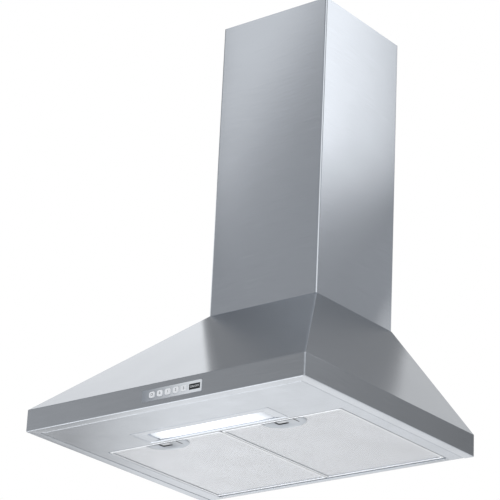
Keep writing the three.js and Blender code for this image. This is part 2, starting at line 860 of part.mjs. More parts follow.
// Lays a solid made about Z along the wheel's axis.
function onAxis(made) {
  return alongX(made).translate([0, axisY, axisHeight]);
}

// Side plate with the air's way in.
function inletPlate() {
  const plate = across(sideOutlineOfScroll(), -scrollHalf - sheet, -scrollHalf);
  return plate.subtract(onAxis(rod(wheelEye + sheet + gap, -scrollHalf - cut, -scrollHalf + cut, 48)));
}

// Flared ring that guides the air into the wheel.
function inletRing() {
  const [x0, x1] = [-scrollHalf - sheet - gap, -scrollHalf + inletReach];
  const steps = 3;
  const flare = Array.from({ length: steps + 1 }, (_, i) => {
    const t = (i / steps) * (Math.PI / 2);
    return [wheelEye + inletFlare * (1 - Math.cos(t)), x0 - inletFlare * Math.sin(t)];
  });
  const back = flare.map(([r, z]) => [r + sheet, z]).reverse();
  return onAxis(turned([...flare, ...back, [wheelEye + sheet, x1], [wheelEye, x1]], 32));
}

// Side plate that carries the motor.
function motorPlate() {
  const plate = across(sideOutlineOfScroll(), scrollHalf, scrollHalf + sheet);
  return plate.subtract(onAxis(rod(hubRadius + hubFit, scrollHalf - cut, scrollHalf + cut)));
}

// Forward-curved wheel: back disc, front ring and hub joined by the blades.
function impeller() {
  const [x0, x1] = [-wheelWidth / 2, wheelWidth / 2];
  const middle = (wheelEye + wheelRadius) / 2;
  const bore = shaftRadius + gap;
  const rim = wheelRadius + ringProud;
  const hubEnd = x1 + scrollSide - hubFit;
  // A blade's edge turns back as the square of the way from its inner end to its outer one.
  const edge = (offset) => [0, 0.5, 1].map((t) => {
    const r = wheelEye + (wheelRadius - wheelEye) * t;
    const turn = -bladeTurn * rad * t * t;
    return [r * Math.cos(turn) - offset * Math.sin(turn), r * Math.sin(turn) + offset * Math.cos(turn)];
  });
  const outline = polygon([...edge(-bladeThick / 2), ...edge(bladeThick / 2).reverse()]);
  const one = upright(outline, x0 + wheelRing / 2, x1 - wheelDisc / 2);
  const blades = Array.from({ length: bladeCount }, (_, i) => one.rotate([0, 0, (360 * i) / bladeCount]));
  const disc = turned(
    [[bore, x1 - wheelDisc], [wheelRadius, x1 - wheelDisc], [wheelRadius, x1], [bore, x1]],
    bladeCount,
  );
  const ring = turned([[middle, x0], [rim, x0], [rim, x0 + wheelRing], [middle, x0 + wheelRing]], bladeCount);
  const hub = turned(
    [
      [bore, x1 - hubLength],
      [hubRadius * hubTaper, x1 - hubLength],
      [hubRadius, x1 - wheelDisc],
      [hubRadius, hubEnd],
      [bore, hubEnd],
    ],
    20,
  );
  return onAxis(wasm.Manifold.union([...blades, disc, ring, hub]));
}

const motorX = scrollHalf + sheet + gap;
const motorEnd = motorX + motorFlange + motorLength;
const flangeRadius = motorRadius + motorFlangeWidth;
// Turns with the wheel.
function motorShaft() {
  return onAxis(rod(shaftRadius, wheelWidth / 2 - hubLength - shaftProud, motorEnd - shaftShort));
}

// Cast body with a fixing flange and cooling fins, bored through for the shaft.
function motorBody() {
  const bore = shaftRadius + gap;
  const root = motorRadius - finDepth;
  const start = motorX + motorFlange;
  const profile = [[bore, motorX], [flangeRadius, motorX], [flangeRadius, start]];
  const pitch = motorLength / motorFins;
  for (let i = 0; i < motorFins; i++) {
    const x = start + i * pitch;
    profile.push([root, x + overlap], [root, x + pitch / 2], [motorRadius, x + pitch / 2]);
    profile.push([motorRadius, x + pitch - overlap]);
  }
  profile.push([root, motorEnd], [bore, motorEnd]);
  return onAxis(turned(profile, 20));
}

// Domed cap with air slots.
function motorEndCap() {
  const [x0, x1] = [motorEnd + gap, motorEnd + gap + endCapLength];
  const shoulder = x0 + endCapLength * endCapRim;
  const root = motorRadius - finDepth;
  let made = turned([[0, x0], [root, x0], [root, shoulder], [motorRadius * endCapTop, x1], [0, x1]], 24);
  for (let i = 0; i < endCapSlots; i++) {
    const slot = box(
      motorRadius * endCapSlotFrom, motorRadius * endCapSlotTo,
      -endCapSlotWidth / 2, endCapSlotWidth / 2,
      shoulder, x1 + cut,
    );
    made = made.subtract(slot.rotate([0, 0, (360 * i) / endCapSlots]));
  }
  return onAxis(made);
}

// Can on a stud beside the motor.
function capacitor() {
  const x0 = scrollHalf + sheet + gap;
  const [base, end] = [x0 + capacitorStudLength, x0 + capacitorLength];
  const can = turned([
    [0, x0],
    [capacitorStud, x0],
    [capacitorStud, base],
    [capacitorRadius - capacitorBevel / 2, base],
    [capacitorRadius, base + capacitorBevel / 2],
    [capacitorRadius, end - capacitorBevel],
    [capacitorRadius - capacitorBevel, end],
    [0, end],
  ], 20);
  const reach = flangeRadius + capacitorRadius + capacitorFit;
  const angle = capacitorAngle * rad;
  return alongX(can).translate([0, axisY + reach * Math.cos(angle), axisHeight + reach * Math.sin(angle)]);
}

// ---- Outlet ----
const glandAt = [-coverInside + sheet + glandInset, coverFront + sheet + glandInset, 0];
const glandHole = glandRadius - glandShoulder;

// Plate in the neck with holes for the duct's collar and the cable gland.
function topPlate() {
  const edge = sheet + gap;
  const [low, high] = [canopyHeight - cut, canopyHeight + cut];
  const plate = box(
    -coverInside + edge, coverInside - edge,
    coverFront + edge, plateFace - edge,
    canopyHeight, canopyHeight + plateThick,
  );
  const airHole = rod(collarRadius - collarWall - flapLedge, low, high, 32).translate([0, ductY, 0]);
  return plate.subtract(airHole).subtract(rod(glandHole, low, high).translate(glandAt));
}

// Bushing for the supply cable.
function cableGland() {
  const z = canopyHeight + plateThick;
  const bottom = canopyHeight - glandTail;
  const neck = glandHole - gap;
  const made = turned([
    [glandBore, bottom],
    [neck, bottom],
    [neck, z],
    [glandRadius, z],
    [glandRadius, z + glandNut],
    [glandRadius - glandTaper, z + glandHeight],
    [glandBore, z + glandHeight],
  ], 16);
  return made.translate(glandAt);
}

// Duct collar with a flange on the plate, a ledge that the closed flaps rest on and their pivot holes.
function outletCollar() {
  const inner = collarRadius - collarWall;
  let made = turned([
    [inner - flapLedge, collarBase],
    [collarRadius + collarFlange, collarBase],
    [collarRadius + collarFlange, collarBase + collarWall],
    [collarRadius, collarBase + collarWall],
    [collarRadius, collarBase + collarHeight],
    [inner, collarBase + collarHeight],
    [inner, flapZ - flapThick / 2 - gap],
    [inner - flapLedge, flapZ - flapThick / 2 - gap],
  ], 32);
  const reach = collarRadius + cut;
  for (const side of [-1, 1]) {
    made = made.subtract(
      alongX(rod(flapPin + gap, -reach, reach, 16)).translate([0, side * flapOffset, flapZ]),
    );
  }
  return made.translate([0, ductY, 0]);
}

// A half disc with a hinge bead; the bead's ends are the pivots in the collar wall.
function damperFlap(side) {
  const radius = collarRadius - collarWall - flapRoom;
  const pin = alongX(rod(flapPin, -collarRadius + gap, collarRadius - gap, 16))
    .translate([0, side * flapOffset, flapZ]);
  const disc = rod(radius, flapZ - flapThick / 2, flapZ + flapThick / 2, 32);
  const keep = side > 0
    ? box(-radius * 2, radius * 2, flapOffset, radius * 2, 0, canopyHeight * 2)
    : box(-radius * 2, radius * 2, -radius * 2, -flapOffset, 0, canopyHeight * 2);
  return disc.intersect(keep).add(pin).translate([0, ductY, 0]);
}

// ---- Chimney covers ----
// U-shaped channel in plan, with bent front corners and a return flange each side against the wall.
function coverOutline(width, depth, lip, rearY) {
  const bend = chimneyBend;
  const shape = new THREE.Shape();
  const [x, y0] = [width / 2, rearY - depth];
  shape.moveTo(-x + lip, rearY);
  shape.lineTo(-x, rearY);
  shape.lineTo(-x, y0 + bend);
  shape.absarc(-x + bend, y0 + bend, bend, Math.PI, Math.PI * 1.5, false);
  shape.lineTo(x - bend, y0);
  shape.absarc(x - bend, y0 + bend, bend, -Math.PI / 2, 0, false);
  shape.lineTo(x, rearY);
  shape.lineTo(x - lip, rearY);
  shape.lineTo(x - lip, rearY - sheet);
  shape.lineTo(x - sheet, rearY - sheet);
  shape.lineTo(x - sheet, y0 + bend);
  shape.absarc(x - bend, y0 + bend, bend - sheet, 0, -Math.PI / 2, true);
  shape.lineTo(-x + bend, y0 + sheet);
  shape.absarc(-x + bend, y0 + bend, bend - sheet, -Math.PI / 2, -Math.PI, true);
  shape.lineTo(-x + sheet, rearY - sheet);
  shape.lineTo(-x + lip, rearY - sheet);
  shape.closePath();
  return shape;
}

// Outer cover, over the canopy's neck.
function lowerChimney() {
  return upright(
    coverOutline(chimneyWidth, chimneyDepth, chimneyReturn, 0), chimneyBase, chimneyBase + chimneyLength,
  );
}

const upperWidth = chimneyWidth - 2 * (sheet + slideFit);
const upperRear = -sheet - slideFit;
const upperDepth = chimneyDepth - 2 * (sheet + slideFit);
const upperTop = upperBase + upperLength;
// Inner cover, with air slots near its top in both sides.
function upperChimney() {
  let made = upright(coverOutline(upperWidth, upperDepth, chimneyReturn, upperRear), upperBase, upperTop);
  for (let i = 0; i < ventCount; i++) {
    const y = ductY + (i - (ventCount - 1) / 2) * ventPitch;
    const [low, high] = [upperTop - ventFromTop - ventLength, upperTop - ventFromTop];
    const vent = polygon([
      [y, low],
      [y + ventWidth / 2, low + ventWidth / 2],
      [y + ventWidth / 2, high - ventWidth / 2],
      [y, high],
      [y - ventWidth / 2, high - ventWidth / 2],
      [y - ventWidth / 2, low + ventWidth / 2],
    ]);
    made = made.subtract(across(vent, -chimneyWidth, chimneyWidth));
  }
  return made;
}

// Wall bracket at the top of the upper cover: its middle lies on the wall between the covers' return
// flanges, and its ends step forward past the flanges and turn along the cover's side walls.
function wallBracket() {
  const half = upperWidth / 2 - sheet - gap;
  const z1 = upperTop - bracketFromTop;
  const z0 = z1 - bracketHeight;
  const back = upperRear - sheet - gap;
  const step = chimneyWidth / 2 - chimneyReturn - bracketFit;
  let made = box(-step, step, -railThick, 0, z0, z1);
  for (const side of [-1, 1]) {
    const between = (a, b) => [Math.min(side * a, side * b), Math.max(side * a, side * b)];
    made = made.add(box(...between(step - railThick, step), back - railThick, 0, z0, z1));
    made = made.add(box(...between(step - railThick, half), back - railThick, back, z0, z1));
    made = made.add(box(...between(half - railThick, half), back - bracketEar, back, z0, z1));
    const [x, z] = [side * bracketSlotAt, (z0 + z1) / 2];
    const slot = roundedRect(
      x - bracketSlotLength / 2, x + bracketSlotLength / 2,
      z - bracketSlot, z + bracketSlot,
      bracketSlot - overlap,
    );
    made = made.subtract(inward(slot, -cut, cut));
  }
  return made;
}

// ---- Supply box on the back plate ----
// A block as high and wide as the supply box, less an edge all round, from y0 to y1.
function boxBlock(edge, y0, y1) {
  const half = boxWidth / 2 - edge;
  return box(boxCentre - half, boxCentre + half, y0, y1, boxLift + edge, boxLift + boxHeight - edge);
}

// Open at the front.
function junctionBox() {
  return boxBlock(0, plateFace - boxDepth, plateFace).subtract(boxBlock(boxWall, plateFace - boxDepth - cut, plateFace - boxWall));
}

// Flat lid with a rib that fits inside the box.
function junctionLid() {
  const y1 = plateFace - boxDepth - gap;
  const rib = boxWall + gap;
  return boxBlock(0, y1 - boxWall, y1).add(
    boxBlock(rib, y1 - boxWall, y1 + lidRib).subtract(boxBlock(rib * 2, y1 - boxWall + lidRibFloor, y1 + cut)),
  );
}

// Supply terminals, one raised pole for each wire.
function terminalBlock() {
  const back = plateFace - boxWall;
  const face = back - terminalDepth;
  const middle = boxLift + boxHeight / 2;
  const half = (terminalPoles * terminalPitch) / 2;
  const [low, high] = [middle - terminalHeight / 2, middle + terminalHeight / 2];
  let made = box(boxCentre - half, boxCentre + half, face, back, low, high);
  for (let i = 0; i < terminalPoles; i++) {
    const x = boxCentre - half + (i + 0.5) * terminalPitch;
    made = made.add(
      box(
        x - poleWidth / 2, x + poleWidth / 2,
        face - poleDepth, face,
        middle - poleHeight / 2, middle + poleHeight / 2,
      ),
    );
  }
  return made;
}

// ---- Assembly ----
add("canopy_shell", canopyShell(), steel);
add("rear_panel", rearPanel(), galvanised);
add("underside_panel", undersidePanel(), steel);
add("filter_rail", filterRail(), galvanised);
for (const [side, name] of [[-1, "left"], [1, "right"]]) {
  const x = side * filterCentre;
  add("filter_frame_" + name, filterFrame(x), aluminium);
  add("filter_mesh_" + name, filterMesh(x), aluminium);
  add("latch_plate_" + name, latchPlate(x), aluminium);
  add("latch_tongue_" + name, latchTongue(x), greyPlastic);
  add("lamp_holder_" + name, lampHolder(side), lightPlastic);
  add("bulb_cap_" + name, bulbCap(side), brass);
  add("bulb_glass_" + name, bulbGlass(side), glass);
}
add("lamp_bezel", lampBezel(), steel);
add("lamp_lens", lampLens(), frosted);
add("lamp_housing", lampHousing(), galvanised);
add("control_panel", controlPanel(), lightPlastic);
add("switch_body", switchBody(), darkPlastic);
add("switch_board", switchBoard(), board);
buttonXs.forEach((x, i) => add("push_button_" + (i + 1), pushButton(x), lightPlastic));
add("scroll_wrap", scrollWrap(), galvanised);
add("inlet_plate", inletPlate(), galvanised);
add("inlet_ring", inletRing(), darkPlastic);
add("motor_plate", motorPlate(), galvanised);
add("impeller", impeller(), darkPlastic);
add("motor_shaft", motorShaft(), steel);
add("motor_body", motorBody(), aluminium);
add("motor_end_cap", motorEndCap(), aluminium);
add("capacitor", capacitor(), lightPlastic);
add("top_plate", topPlate(), galvanised);
add("cable_gland", cableGland(), darkPlastic);
add("outlet_collar", outletCollar(), darkPlastic);
add("damper_flap_front", damperFlap(-1), darkPlastic);
add("damper_flap_rear", damperFlap(1), darkPlastic);
add("lower_chimney", lowerChimney(), steel);
add("upper_chimney", upperChimney(), steel);
add("wall_bracket", wallBracket(), galvanised);
add("junction_box", junctionBox(), greyPlastic);
add("junction_lid", junctionLid(), greyPlastic);
add("terminal_block", terminalBlock(), lightPlastic);

export default hood;
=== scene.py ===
"""A 60 cm chimney range hood in brushed stainless steel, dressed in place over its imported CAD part.

Metres, +Z up, +Y into the wall. Each piece is worked out from its own formula in the section that makes it:
sheet pieces are an outline carried along a profile, and every finish is procedural, on Object coordinates.
"""
import math

import bmesh
import bpy
import numpy as np
from mathutils import Matrix, Vector


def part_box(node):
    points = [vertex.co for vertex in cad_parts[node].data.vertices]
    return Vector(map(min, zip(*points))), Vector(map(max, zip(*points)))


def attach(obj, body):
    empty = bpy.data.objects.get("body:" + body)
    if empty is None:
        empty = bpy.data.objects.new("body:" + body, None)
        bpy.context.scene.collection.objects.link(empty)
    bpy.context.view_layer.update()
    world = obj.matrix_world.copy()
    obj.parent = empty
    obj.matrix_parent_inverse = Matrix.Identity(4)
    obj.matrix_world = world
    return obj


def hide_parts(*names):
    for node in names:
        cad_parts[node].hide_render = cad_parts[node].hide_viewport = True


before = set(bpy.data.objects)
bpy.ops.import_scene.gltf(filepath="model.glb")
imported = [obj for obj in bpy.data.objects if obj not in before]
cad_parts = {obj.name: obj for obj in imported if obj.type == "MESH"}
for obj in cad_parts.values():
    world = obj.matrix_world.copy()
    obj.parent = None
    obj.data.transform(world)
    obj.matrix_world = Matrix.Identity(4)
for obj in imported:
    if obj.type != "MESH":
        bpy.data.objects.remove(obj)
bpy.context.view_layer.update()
scene = bpy.context.scene
scene.view_settings.view_transform = "Standard"

# ---- Studio ----
# Brushed steel shows what stands round it. So the light comes from panels beside the hood, which the camera
# doesn't see, in a surround that is dim to the steel and white to the camera. A pale floor lies well below.


def linear(colour, by=1.0):
    """sRGB hex to linear RGBA: ((c + 0.055) / 1.055) to the power 2.4, or c / 12.92 near black.

    Red, green and blue are then made lighter or darker by a factor."""
    parts = [int(colour[i:i + 2], 16) / 255 for i in (0, 2, 4)]
    parts = [((c + 0.055) / 1.055) ** 2.4 if c > 0.04045 else c / 12.92 for c in parts]
    return [min(c * by, 1) for c in parts] + [1.0]


def add(tree, kind, sockets=None, **settings):
    """Adds one shader node. Settings are its own properties, and sockets maps inputs to values or outputs."""
    made = tree.nodes.new("ShaderNode" + kind)
    for name, value in settings.items():
        setattr(made, name, value)
    for socket, value in (sockets or {}).items():
        if isinstance(value, bpy.types.NodeSocket):
            tree.links.new(value, made.inputs[socket])
        else:
            made.inputs[socket].default_value = value
    return made


def finish_of(name):
    """A new material of that name, with its node tree and its shader."""
    made = bpy.data.materials.new(name)
    made.use_nodes = True
    return made, made.node_tree, made.node_tree.nodes["Principled BSDF"]


def place(thing, name):
    """Puts new data in the scene as an object of that name."""
    made = bpy.data.objects.new(name, thing)
    scene.collection.objects.link(made)
    return made


# The camera looks up at the hood from below, right of its front.
camera_at = Vector((2.3654, -3.2599, -1.3867))
yaw, pitch, roll = (math.radians(angle) for angle in (38.408, 22.05, 2.733))
sensor_mm, lens_mm, sight = 36, 165.65, 150
forward = Vector((-math.sin(yaw) * math.cos(pitch), math.cos(yaw) * math.cos(pitch), math.sin(pitch)))
level = Vector((math.cos(yaw), math.sin(yaw), 0))
above = level.cross(forward)
sideways = math.cos(roll) * level + math.sin(roll) * above
upwards = math.cos(roll) * above - math.sin(roll) * level
camera = place(bpy.data.cameras.new("camera"), "camera")
camera.data.sensor_width = sensor_mm
camera.data.lens = lens_mm
camera.data.clip_end = sight
turn = Matrix((sideways, upwards, -forward)).transposed()
camera.matrix_world = Matrix.Translation(camera_at) @ turn.to_4x4()
scene.camera = camera

floor_mesh = bpy.data.meshes.new("floor")
floor_side, floor_level = 45.0, -1.75
corners = [(x * floor_side, y * floor_side, floor_level) for x, y in ((-1, -1), (1, -1), (1, 1), (-1, 1))]
floor_mesh.from_pydata(corners, [], [(0, 1, 2, 3)])
floor = place(floor_mesh, "floor")
# Matt paint. In metal it shows as white as it looks round the camera, but for a dimmer part beyond the hood's
# left end. From below it is clear, so that the underside can be looked at.
floor_paint, tree, shade = finish_of("pale_studio_floor")
dim_at, dim_within, white_beyond = (-3.0, 1.8, floor_level), 0.9, 1.9
shade.inputs["Roughness"].default_value = 0.9
shade.inputs["Base Color"].default_value = linear("e9eaec")
mirrored = add(tree, "LightPath").outputs["Is Glossy Ray"]
away = add(tree, "VectorMath", {0: add(tree, "TexCoord").outputs["Object"], 1: dim_at}, operation="DISTANCE")
strength = add(tree, "MapRange", {"Value": away.outputs["Value"], "From Min": dim_within,
                                  "From Max": white_beyond, "To Min": 0.3, "To Max": 0.9})
white = add(tree, "Emission", {"Color": linear("ffffff"), "Strength": strength.outputs[0]})
both = add(tree, "MixShader", {0: mirrored, 1: shade.outputs[0], 2: white.outputs[0]})
one_sided = add(tree, "MixShader", {0: add(tree, "NewGeometry").outputs["Backfacing"], 1: both.outputs[0],
                                    2: add(tree, "BsdfTransparent").outputs[0]})
tree.links.new(one_sided.outputs[0], tree.nodes["Material Output"].inputs["Surface"])
floor_mesh.materials.append(floor_paint)

# The surround gets darker upwards. Height here is the sine of the angle over the horizon.
low_grey, high_grey, grey_until, dark_from, soft_light = 0.51, 0.33, 0.38, 0.55, 1.1
world = bpy.data.worlds.new("studio")
world.use_nodes = True
scene.world = world
tree = world.node_tree
tree.nodes.clear()
height = add(tree, "SeparateXYZ", {0: add(tree, "TexCoord").outputs["Generated"]}).outputs["Z"]
grey = add(tree, "MapRange", {"Value": height, "From Min": grey_until, "From Max": dark_from,
                              "To Min": low_grey, "To Max": high_grey}, interpolation_type="SMOOTHSTEP")
rays = add(tree, "LightPath")
strength = add(tree, "Mix", {0: rays.outputs["Is Diffuse Ray"], 2: grey.outputs[0], 3: soft_light})
lit = add(tree, "Background", {"Color": linear("f1f3f6"), "Strength": strength.outputs[0]})
seen = add(tree, "Background", {"Color": (1, 1, 1, 1), "Strength": 1.0})
both = add(tree, "MixShader", {0: rays.outputs["Is Camera Ray"], 1: lit.outputs[0], 2: seen.outputs[0]})
add(tree, "OutputWorld", {0: both.outputs[0]})


def light_panel(name, *corners):
    """A flat panel that shines from one face, out of the camera's sight.

    Seen from that face its corners run anticlockwise. A corner is x, y, z and the radiance that a mirror
    would show there."""
    mesh = bpy.data.meshes.new(name)
    mesh.from_pydata([corner[:3] for corner in corners], [], [(0, 1, 2, 3)])
    radiances = [corner[3] for corner in corners]
    mesh.attributes.new("radiance", "FLOAT", "POINT").data.foreach_set("value", radiances)
    glow = bpy.data.materials.new(name)
    glow.use_nodes = True
    tree = glow.node_tree
    tree.nodes.clear()
    radiance = add(tree, "Attribute", attribute_name="radiance").outputs["Fac"]
    shine = add(tree, "Emission", {"Color": linear("ffffff"), "Strength": radiance})
    behind = add(tree, "NewGeometry").outputs["Backfacing"]
    one_sided = add(tree, "MixShader", {0: behind, 1: shine.outputs[0],
                                        2: add(tree, "BsdfTransparent").outputs[0]})
    add(tree, "OutputMaterial", {0: one_sided.outputs[0]})
    mesh.materials.append(glow)
    panel = place(mesh, name)
    panel.visible_camera = False


# Two panels show in the upper chimney, one in the far part of each slope, and two in the underside, of which
# the second darkens its left end.
light_panel("panel_chimney_front", (-0.67, -0.88, 0.59, 1.1), (-0.67, -0.88, 1.5, 1.1),
            (-0.34, -0.88, 1.5, 1.0), (-0.34, -0.88, 1.1, 1.0))
light_panel("panel_chimney_right", (1.0, 0.75, 0.82, 2.05), (1.0, 0.75, 1.7, 2.05), (0.6, 0.75, 1.7, 1.08),
            (0.6, 0.75, 0.75, 1.08))
light_panel("panel_front_slope", (-0.4, 0.253, 0.224, 1.15), (-0.4, -0.292, 0.478, 1.15),
            (-0.4, -0.598, 0.034, 1.0), (-0.4, -0.277, -0.205, 1.0))
light_panel("panel_right_slope", (0.392, 0.3, 0.093, 0.7), (0.36, 0.3, 0.255, 0.7), (-0.19, 0.3, 0.27, 0.7),
            (0.018, 0.3, -0.047, 0.7))
light_panel("panel_underside", (0.6, 2.6, -1.7, 0.45), (0.6, 2.6, -0.25, 0.45), (-1.7, 1.571, -0.25, 1.14),
            (-1.7, 1.571, -1.7, 1.14))
light_panel("panel_underside_end", (-1.7, 1.571, -1.7, 1.14), (-1.7, 1.571, -0.25, 1.14),
            (-2.0, 1.437, -0.25, 0.6), (-2.0, 1.437, -1.7, 0.6))
# One stands before the hood's upright corner, and one lies low in front: the folds of the sheet turn towards
# them and show a fine white line.
light_panel("panel_corner", (0.5, -1.7, 1.9, 1.3), (2.0, 0.0, 1.9, 1.3), (2.0, 0.0, 0.3, 1.3),
            (0.5, -1.7, 0.3, 1.3))
light_panel("panel_edges", (-1.4, -1.2, -1.4, 2.4), (-0.4, -1.2, -1.4, 2.4), (-0.4, 0.05, -1.4, 2.4),
            (-1.4, 0.05, -1.4, 2.4))
# Two dim ones stand where the band would show the bright surround.
light_panel("flag_front_band", (-0.2, -1.3, -0.1, 0.33), (-1.2, -1.3, -0.1, 0.5), (-1.2, -1.3, 0.4, 0.5),
            (-0.2, -1.3, 0.4, 0.33))
light_panel("flag_right_band", (0.6, 0.72, -0.2, 0.22), (1.4, 0.72, -0.05, 0.38), (1.4, 0.72, 0.6, 0.38),
            (0.6, 0.72, 0.25, 0.22))

# ---- Canopy ----
# Band, pyramid and neck folded from 1.2 mm stainless sheet, brushed level all round. The folds are bent to
# 1.5 mm, and that catches a line of light. The skin is one outline, open at the wall, carried up a profile of
# half width, depth and height; the button window is left out of its band.
mm = 0.001


def surface(grid, closed=False, keep=None):
    """Points and faces through a grid of points.

    A column runs round the piece anticlockwise from above and the rows go up or outwards, which turns the
    faces out. closed joins the last column to the first, and keep is true for each face that stays."""
    grid = np.asarray(grid, float)
    rows, columns = grid.shape[:2]
    i, j = np.meshgrid(np.arange(rows - 1), np.arange(columns if closed else columns - 1), indexing="ij")
    if keep is not None:
        i, j = i[keep], j[keep]
    i, j = i.ravel(), j.ravel()
    after = (j + 1) % columns
    faces = [i * columns + j, i * columns + after, (i + 1) * columns + after, (i + 1) * columns + j]
    return grid.reshape(-1, 3), np.stack(faces, 1)


def merged(mesh, flatten=False):
    """Merges a mesh's coincident points and drops loose ones. To flatten it also joins faces in one plane."""
    form = bmesh.new()
    form.from_mesh(mesh)
    bmesh.ops.remove_doubles(form, verts=form.verts, dist=0.002 * mm)
    bmesh.ops.delete(form, geom=[point for point in form.verts if not point.link_faces], context="VERTS")
    if flatten:
        bmesh.ops.dissolve_limit(form, angle_limit=math.radians(0.5), verts=form.verts, edges=form.edges)
    form.to_mesh(mesh)
    form.free()


def shape(name, *surfaces, sharp=30):
    """One object from several surfaces, smooth where faces meet by less than the sharp angle in degrees."""
    starts = np.cumsum([0] + [len(points) for points, faces in surfaces])
    points = np.concatenate([points for points, faces in surfaces])
    faces = np.concatenate([faces + start for start, (_, faces) in zip(starts, surfaces)])
    mesh = bpy.data.meshes.new(name)
    mesh.from_pydata(points.tolist(), [], faces.tolist())
    merged(mesh)
    mesh.shade_smooth()
    mesh.set_sharp_from_angle(angle=math.radians(sharp))
    return place(mesh, name)


def sheet(piece, thick):
    """Gives an open skin its thickness, on its inner side."""
    wall = piece.modifiers.new("sheet", "SOLIDIFY")
    wall.thickness = thick
    wall.offset = -1
    wall.use_even_offset = True
    flats = piece.modifiers.new("flats", "WEIGHTED_NORMAL")
    flats.keep_sharp = True
    return piece


def fit(piece, material, body, slot, *nodes):
    """Gives a piece its finish and its body, and hides the CAD nodes that it stands for."""
    piece.data.materials.append(material)
    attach(piece, body)
    if nodes:
        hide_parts(*nodes)


def bent(points, radius, steps=4, guard=0.4 * mm):
    """A line with its corners turned into arcs, and a guard point on the straight run at each side of an arc.

    Seen from its middle, a point of an arc is the start times sin((1 - t) angle) plus the end times
    sin(t angle), over sin(angle)."""
    points = np.asarray(points, float)
    made = [points[0]]
    for before, at, after in zip(points, points[1:], points[2:]):
        a, b = before - at, after - at
        a, b = a / np.linalg.norm(a), b / np.linalg.norm(b)
        half = math.acos(np.clip(a @ b, -1, 1)) / 2
        reach = radius / math.tan(half)
        middle = at + (a + b) / np.linalg.norm(a + b) * radius / math.sin(half)
        made.append(at + a * (reach + guard))
        start, end = at + a * reach - middle, at + b * reach - middle
        angle = math.pi - 2 * half
        for t in np.linspace(0, 1, steps + 1):
            along = math.sin((1 - t) * angle) * start + math.sin(t * angle) * end
            made.append(middle + along / math.sin(angle))
        made.append(at + b * (reach + guard))
    made.append(points[-1])
    return np.array(made)


def brushed_steel(name, colour, rough, streak_mm=0.9, along_mm=60, clouds_per_m=9.0):
    """Stainless sheet, ground level with a fine belt: light spreads up and down across the level grain.

    The streaks are noise squeezed to streak_mm high and drawn out to along_mm. Real scratches are 0.1 mm, too
    fine to show, so they are drawn coarser and faint. Wide clouds vary the gloss, as a worn belt leaves it.
    The tangent is level: up crossed with the normal."""
    made, tree, shade = finish_of(name)
    where = add(tree, "TexCoord").outputs["Object"]
    scale = (1000 / along_mm, 1000 / along_mm, 1000 / streak_mm)
    grain = add(tree, "Mapping", {"Vector": where, "Scale": scale})
    streaks = add(tree, "TexNoise", {"Vector": grain.outputs[0], "Scale": 1.0, "Detail": 3.0,
                                     "Roughness": 0.6})
    clouds = add(tree, "TexNoise", {"Vector": where, "Scale": clouds_per_m, "Detail": 2.0})
    tone = add(tree, "ValToRGB", {"Fac": streaks.outputs["Fac"]})
    dark, light = tone.color_ramp.elements
    dark.position, light.position = 0.3, 0.7
    dark.color, light.color = linear(colour, 0.95), linear(colour, 1.05)
    tree.links.new(tone.outputs["Color"], shade.inputs["Base Color"])
    both = add(tree, "Math", {0: streaks.outputs["Fac"], 1: clouds.outputs["Fac"]}, operation="ADD")
    spread = add(tree, "MapRange", {"Value": both.outputs[0], "From Min": 0.6, "From Max": 1.4,
                                    "To Min": rough - 0.015, "To Max": rough + 0.015})
    tree.links.new(spread.outputs[0], shade.inputs["Roughness"])
    bump = add(tree, "Bump", {"Height": streaks.outputs["Fac"], "Strength": 0.02, "Distance": 0.1 * mm})
    tree.links.new(bump.outputs[0], shade.inputs["Normal"])
    facing = add(tree, "NewGeometry").outputs["Normal"]
    across = add(tree, "VectorMath", {0: (0, 0, 1), 1: facing}, operation="CROSS_PRODUCT")
    # The little that is added along X gives the flat underside a tangent too.
    tilted = add(tree, "VectorMath", {0: across.outputs[0], 1: (0.02, 0, 0)}, operation="ADD")
    tangent = add(tree, "VectorMath", {0: tilted.outputs[0]}, operation="NORMALIZE")
    tree.links.new(tangent.outputs[0], shade.inputs["Tangent"])
    shade.inputs["Metallic"].default_value = 1.0
    shade.inputs["Anisotropic"].default_value = 1.0
    shade.inputs["Anisotropic Rotation"].default_value = 0.25
    return made


steel_sheet = 1.2 * mm
canopy_steel = brushed_steel("brushed_stainless_canopy", "c6cbd2", rough=0.17)
low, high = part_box("canopy_shell")
half_width, depth, bottom = high.x, -low.y, low.z
band_top, pyramid_top, top_half, top_depth = -160 * mm, 65 * mm, 120 * mm, 235 * mm
rim_width, fold, hip = 18 * mm, 1.5 * mm, 2.5 * mm
window_x, window_z = (-21.3 * mm, 59.3 * mm), (-185.55 * mm, -174.45 * mm)
neck_x, neck_y = 118.5 * mm, 233.5 * mm
lower = bent([(half_width - rim_width, depth - rim_width, bottom), (half_width, depth, bottom),
              (half_width, depth, window_z[0])], fold)
upper = bent([(half_width, depth, window_z[1]), (half_width, depth, band_top),
              (top_half, top_depth, pyramid_top)], fold)
profile = np.concatenate([lower, upper, [(neck_x, neck_y, pyramid_top), (neck_x, neck_y, high.z)]])

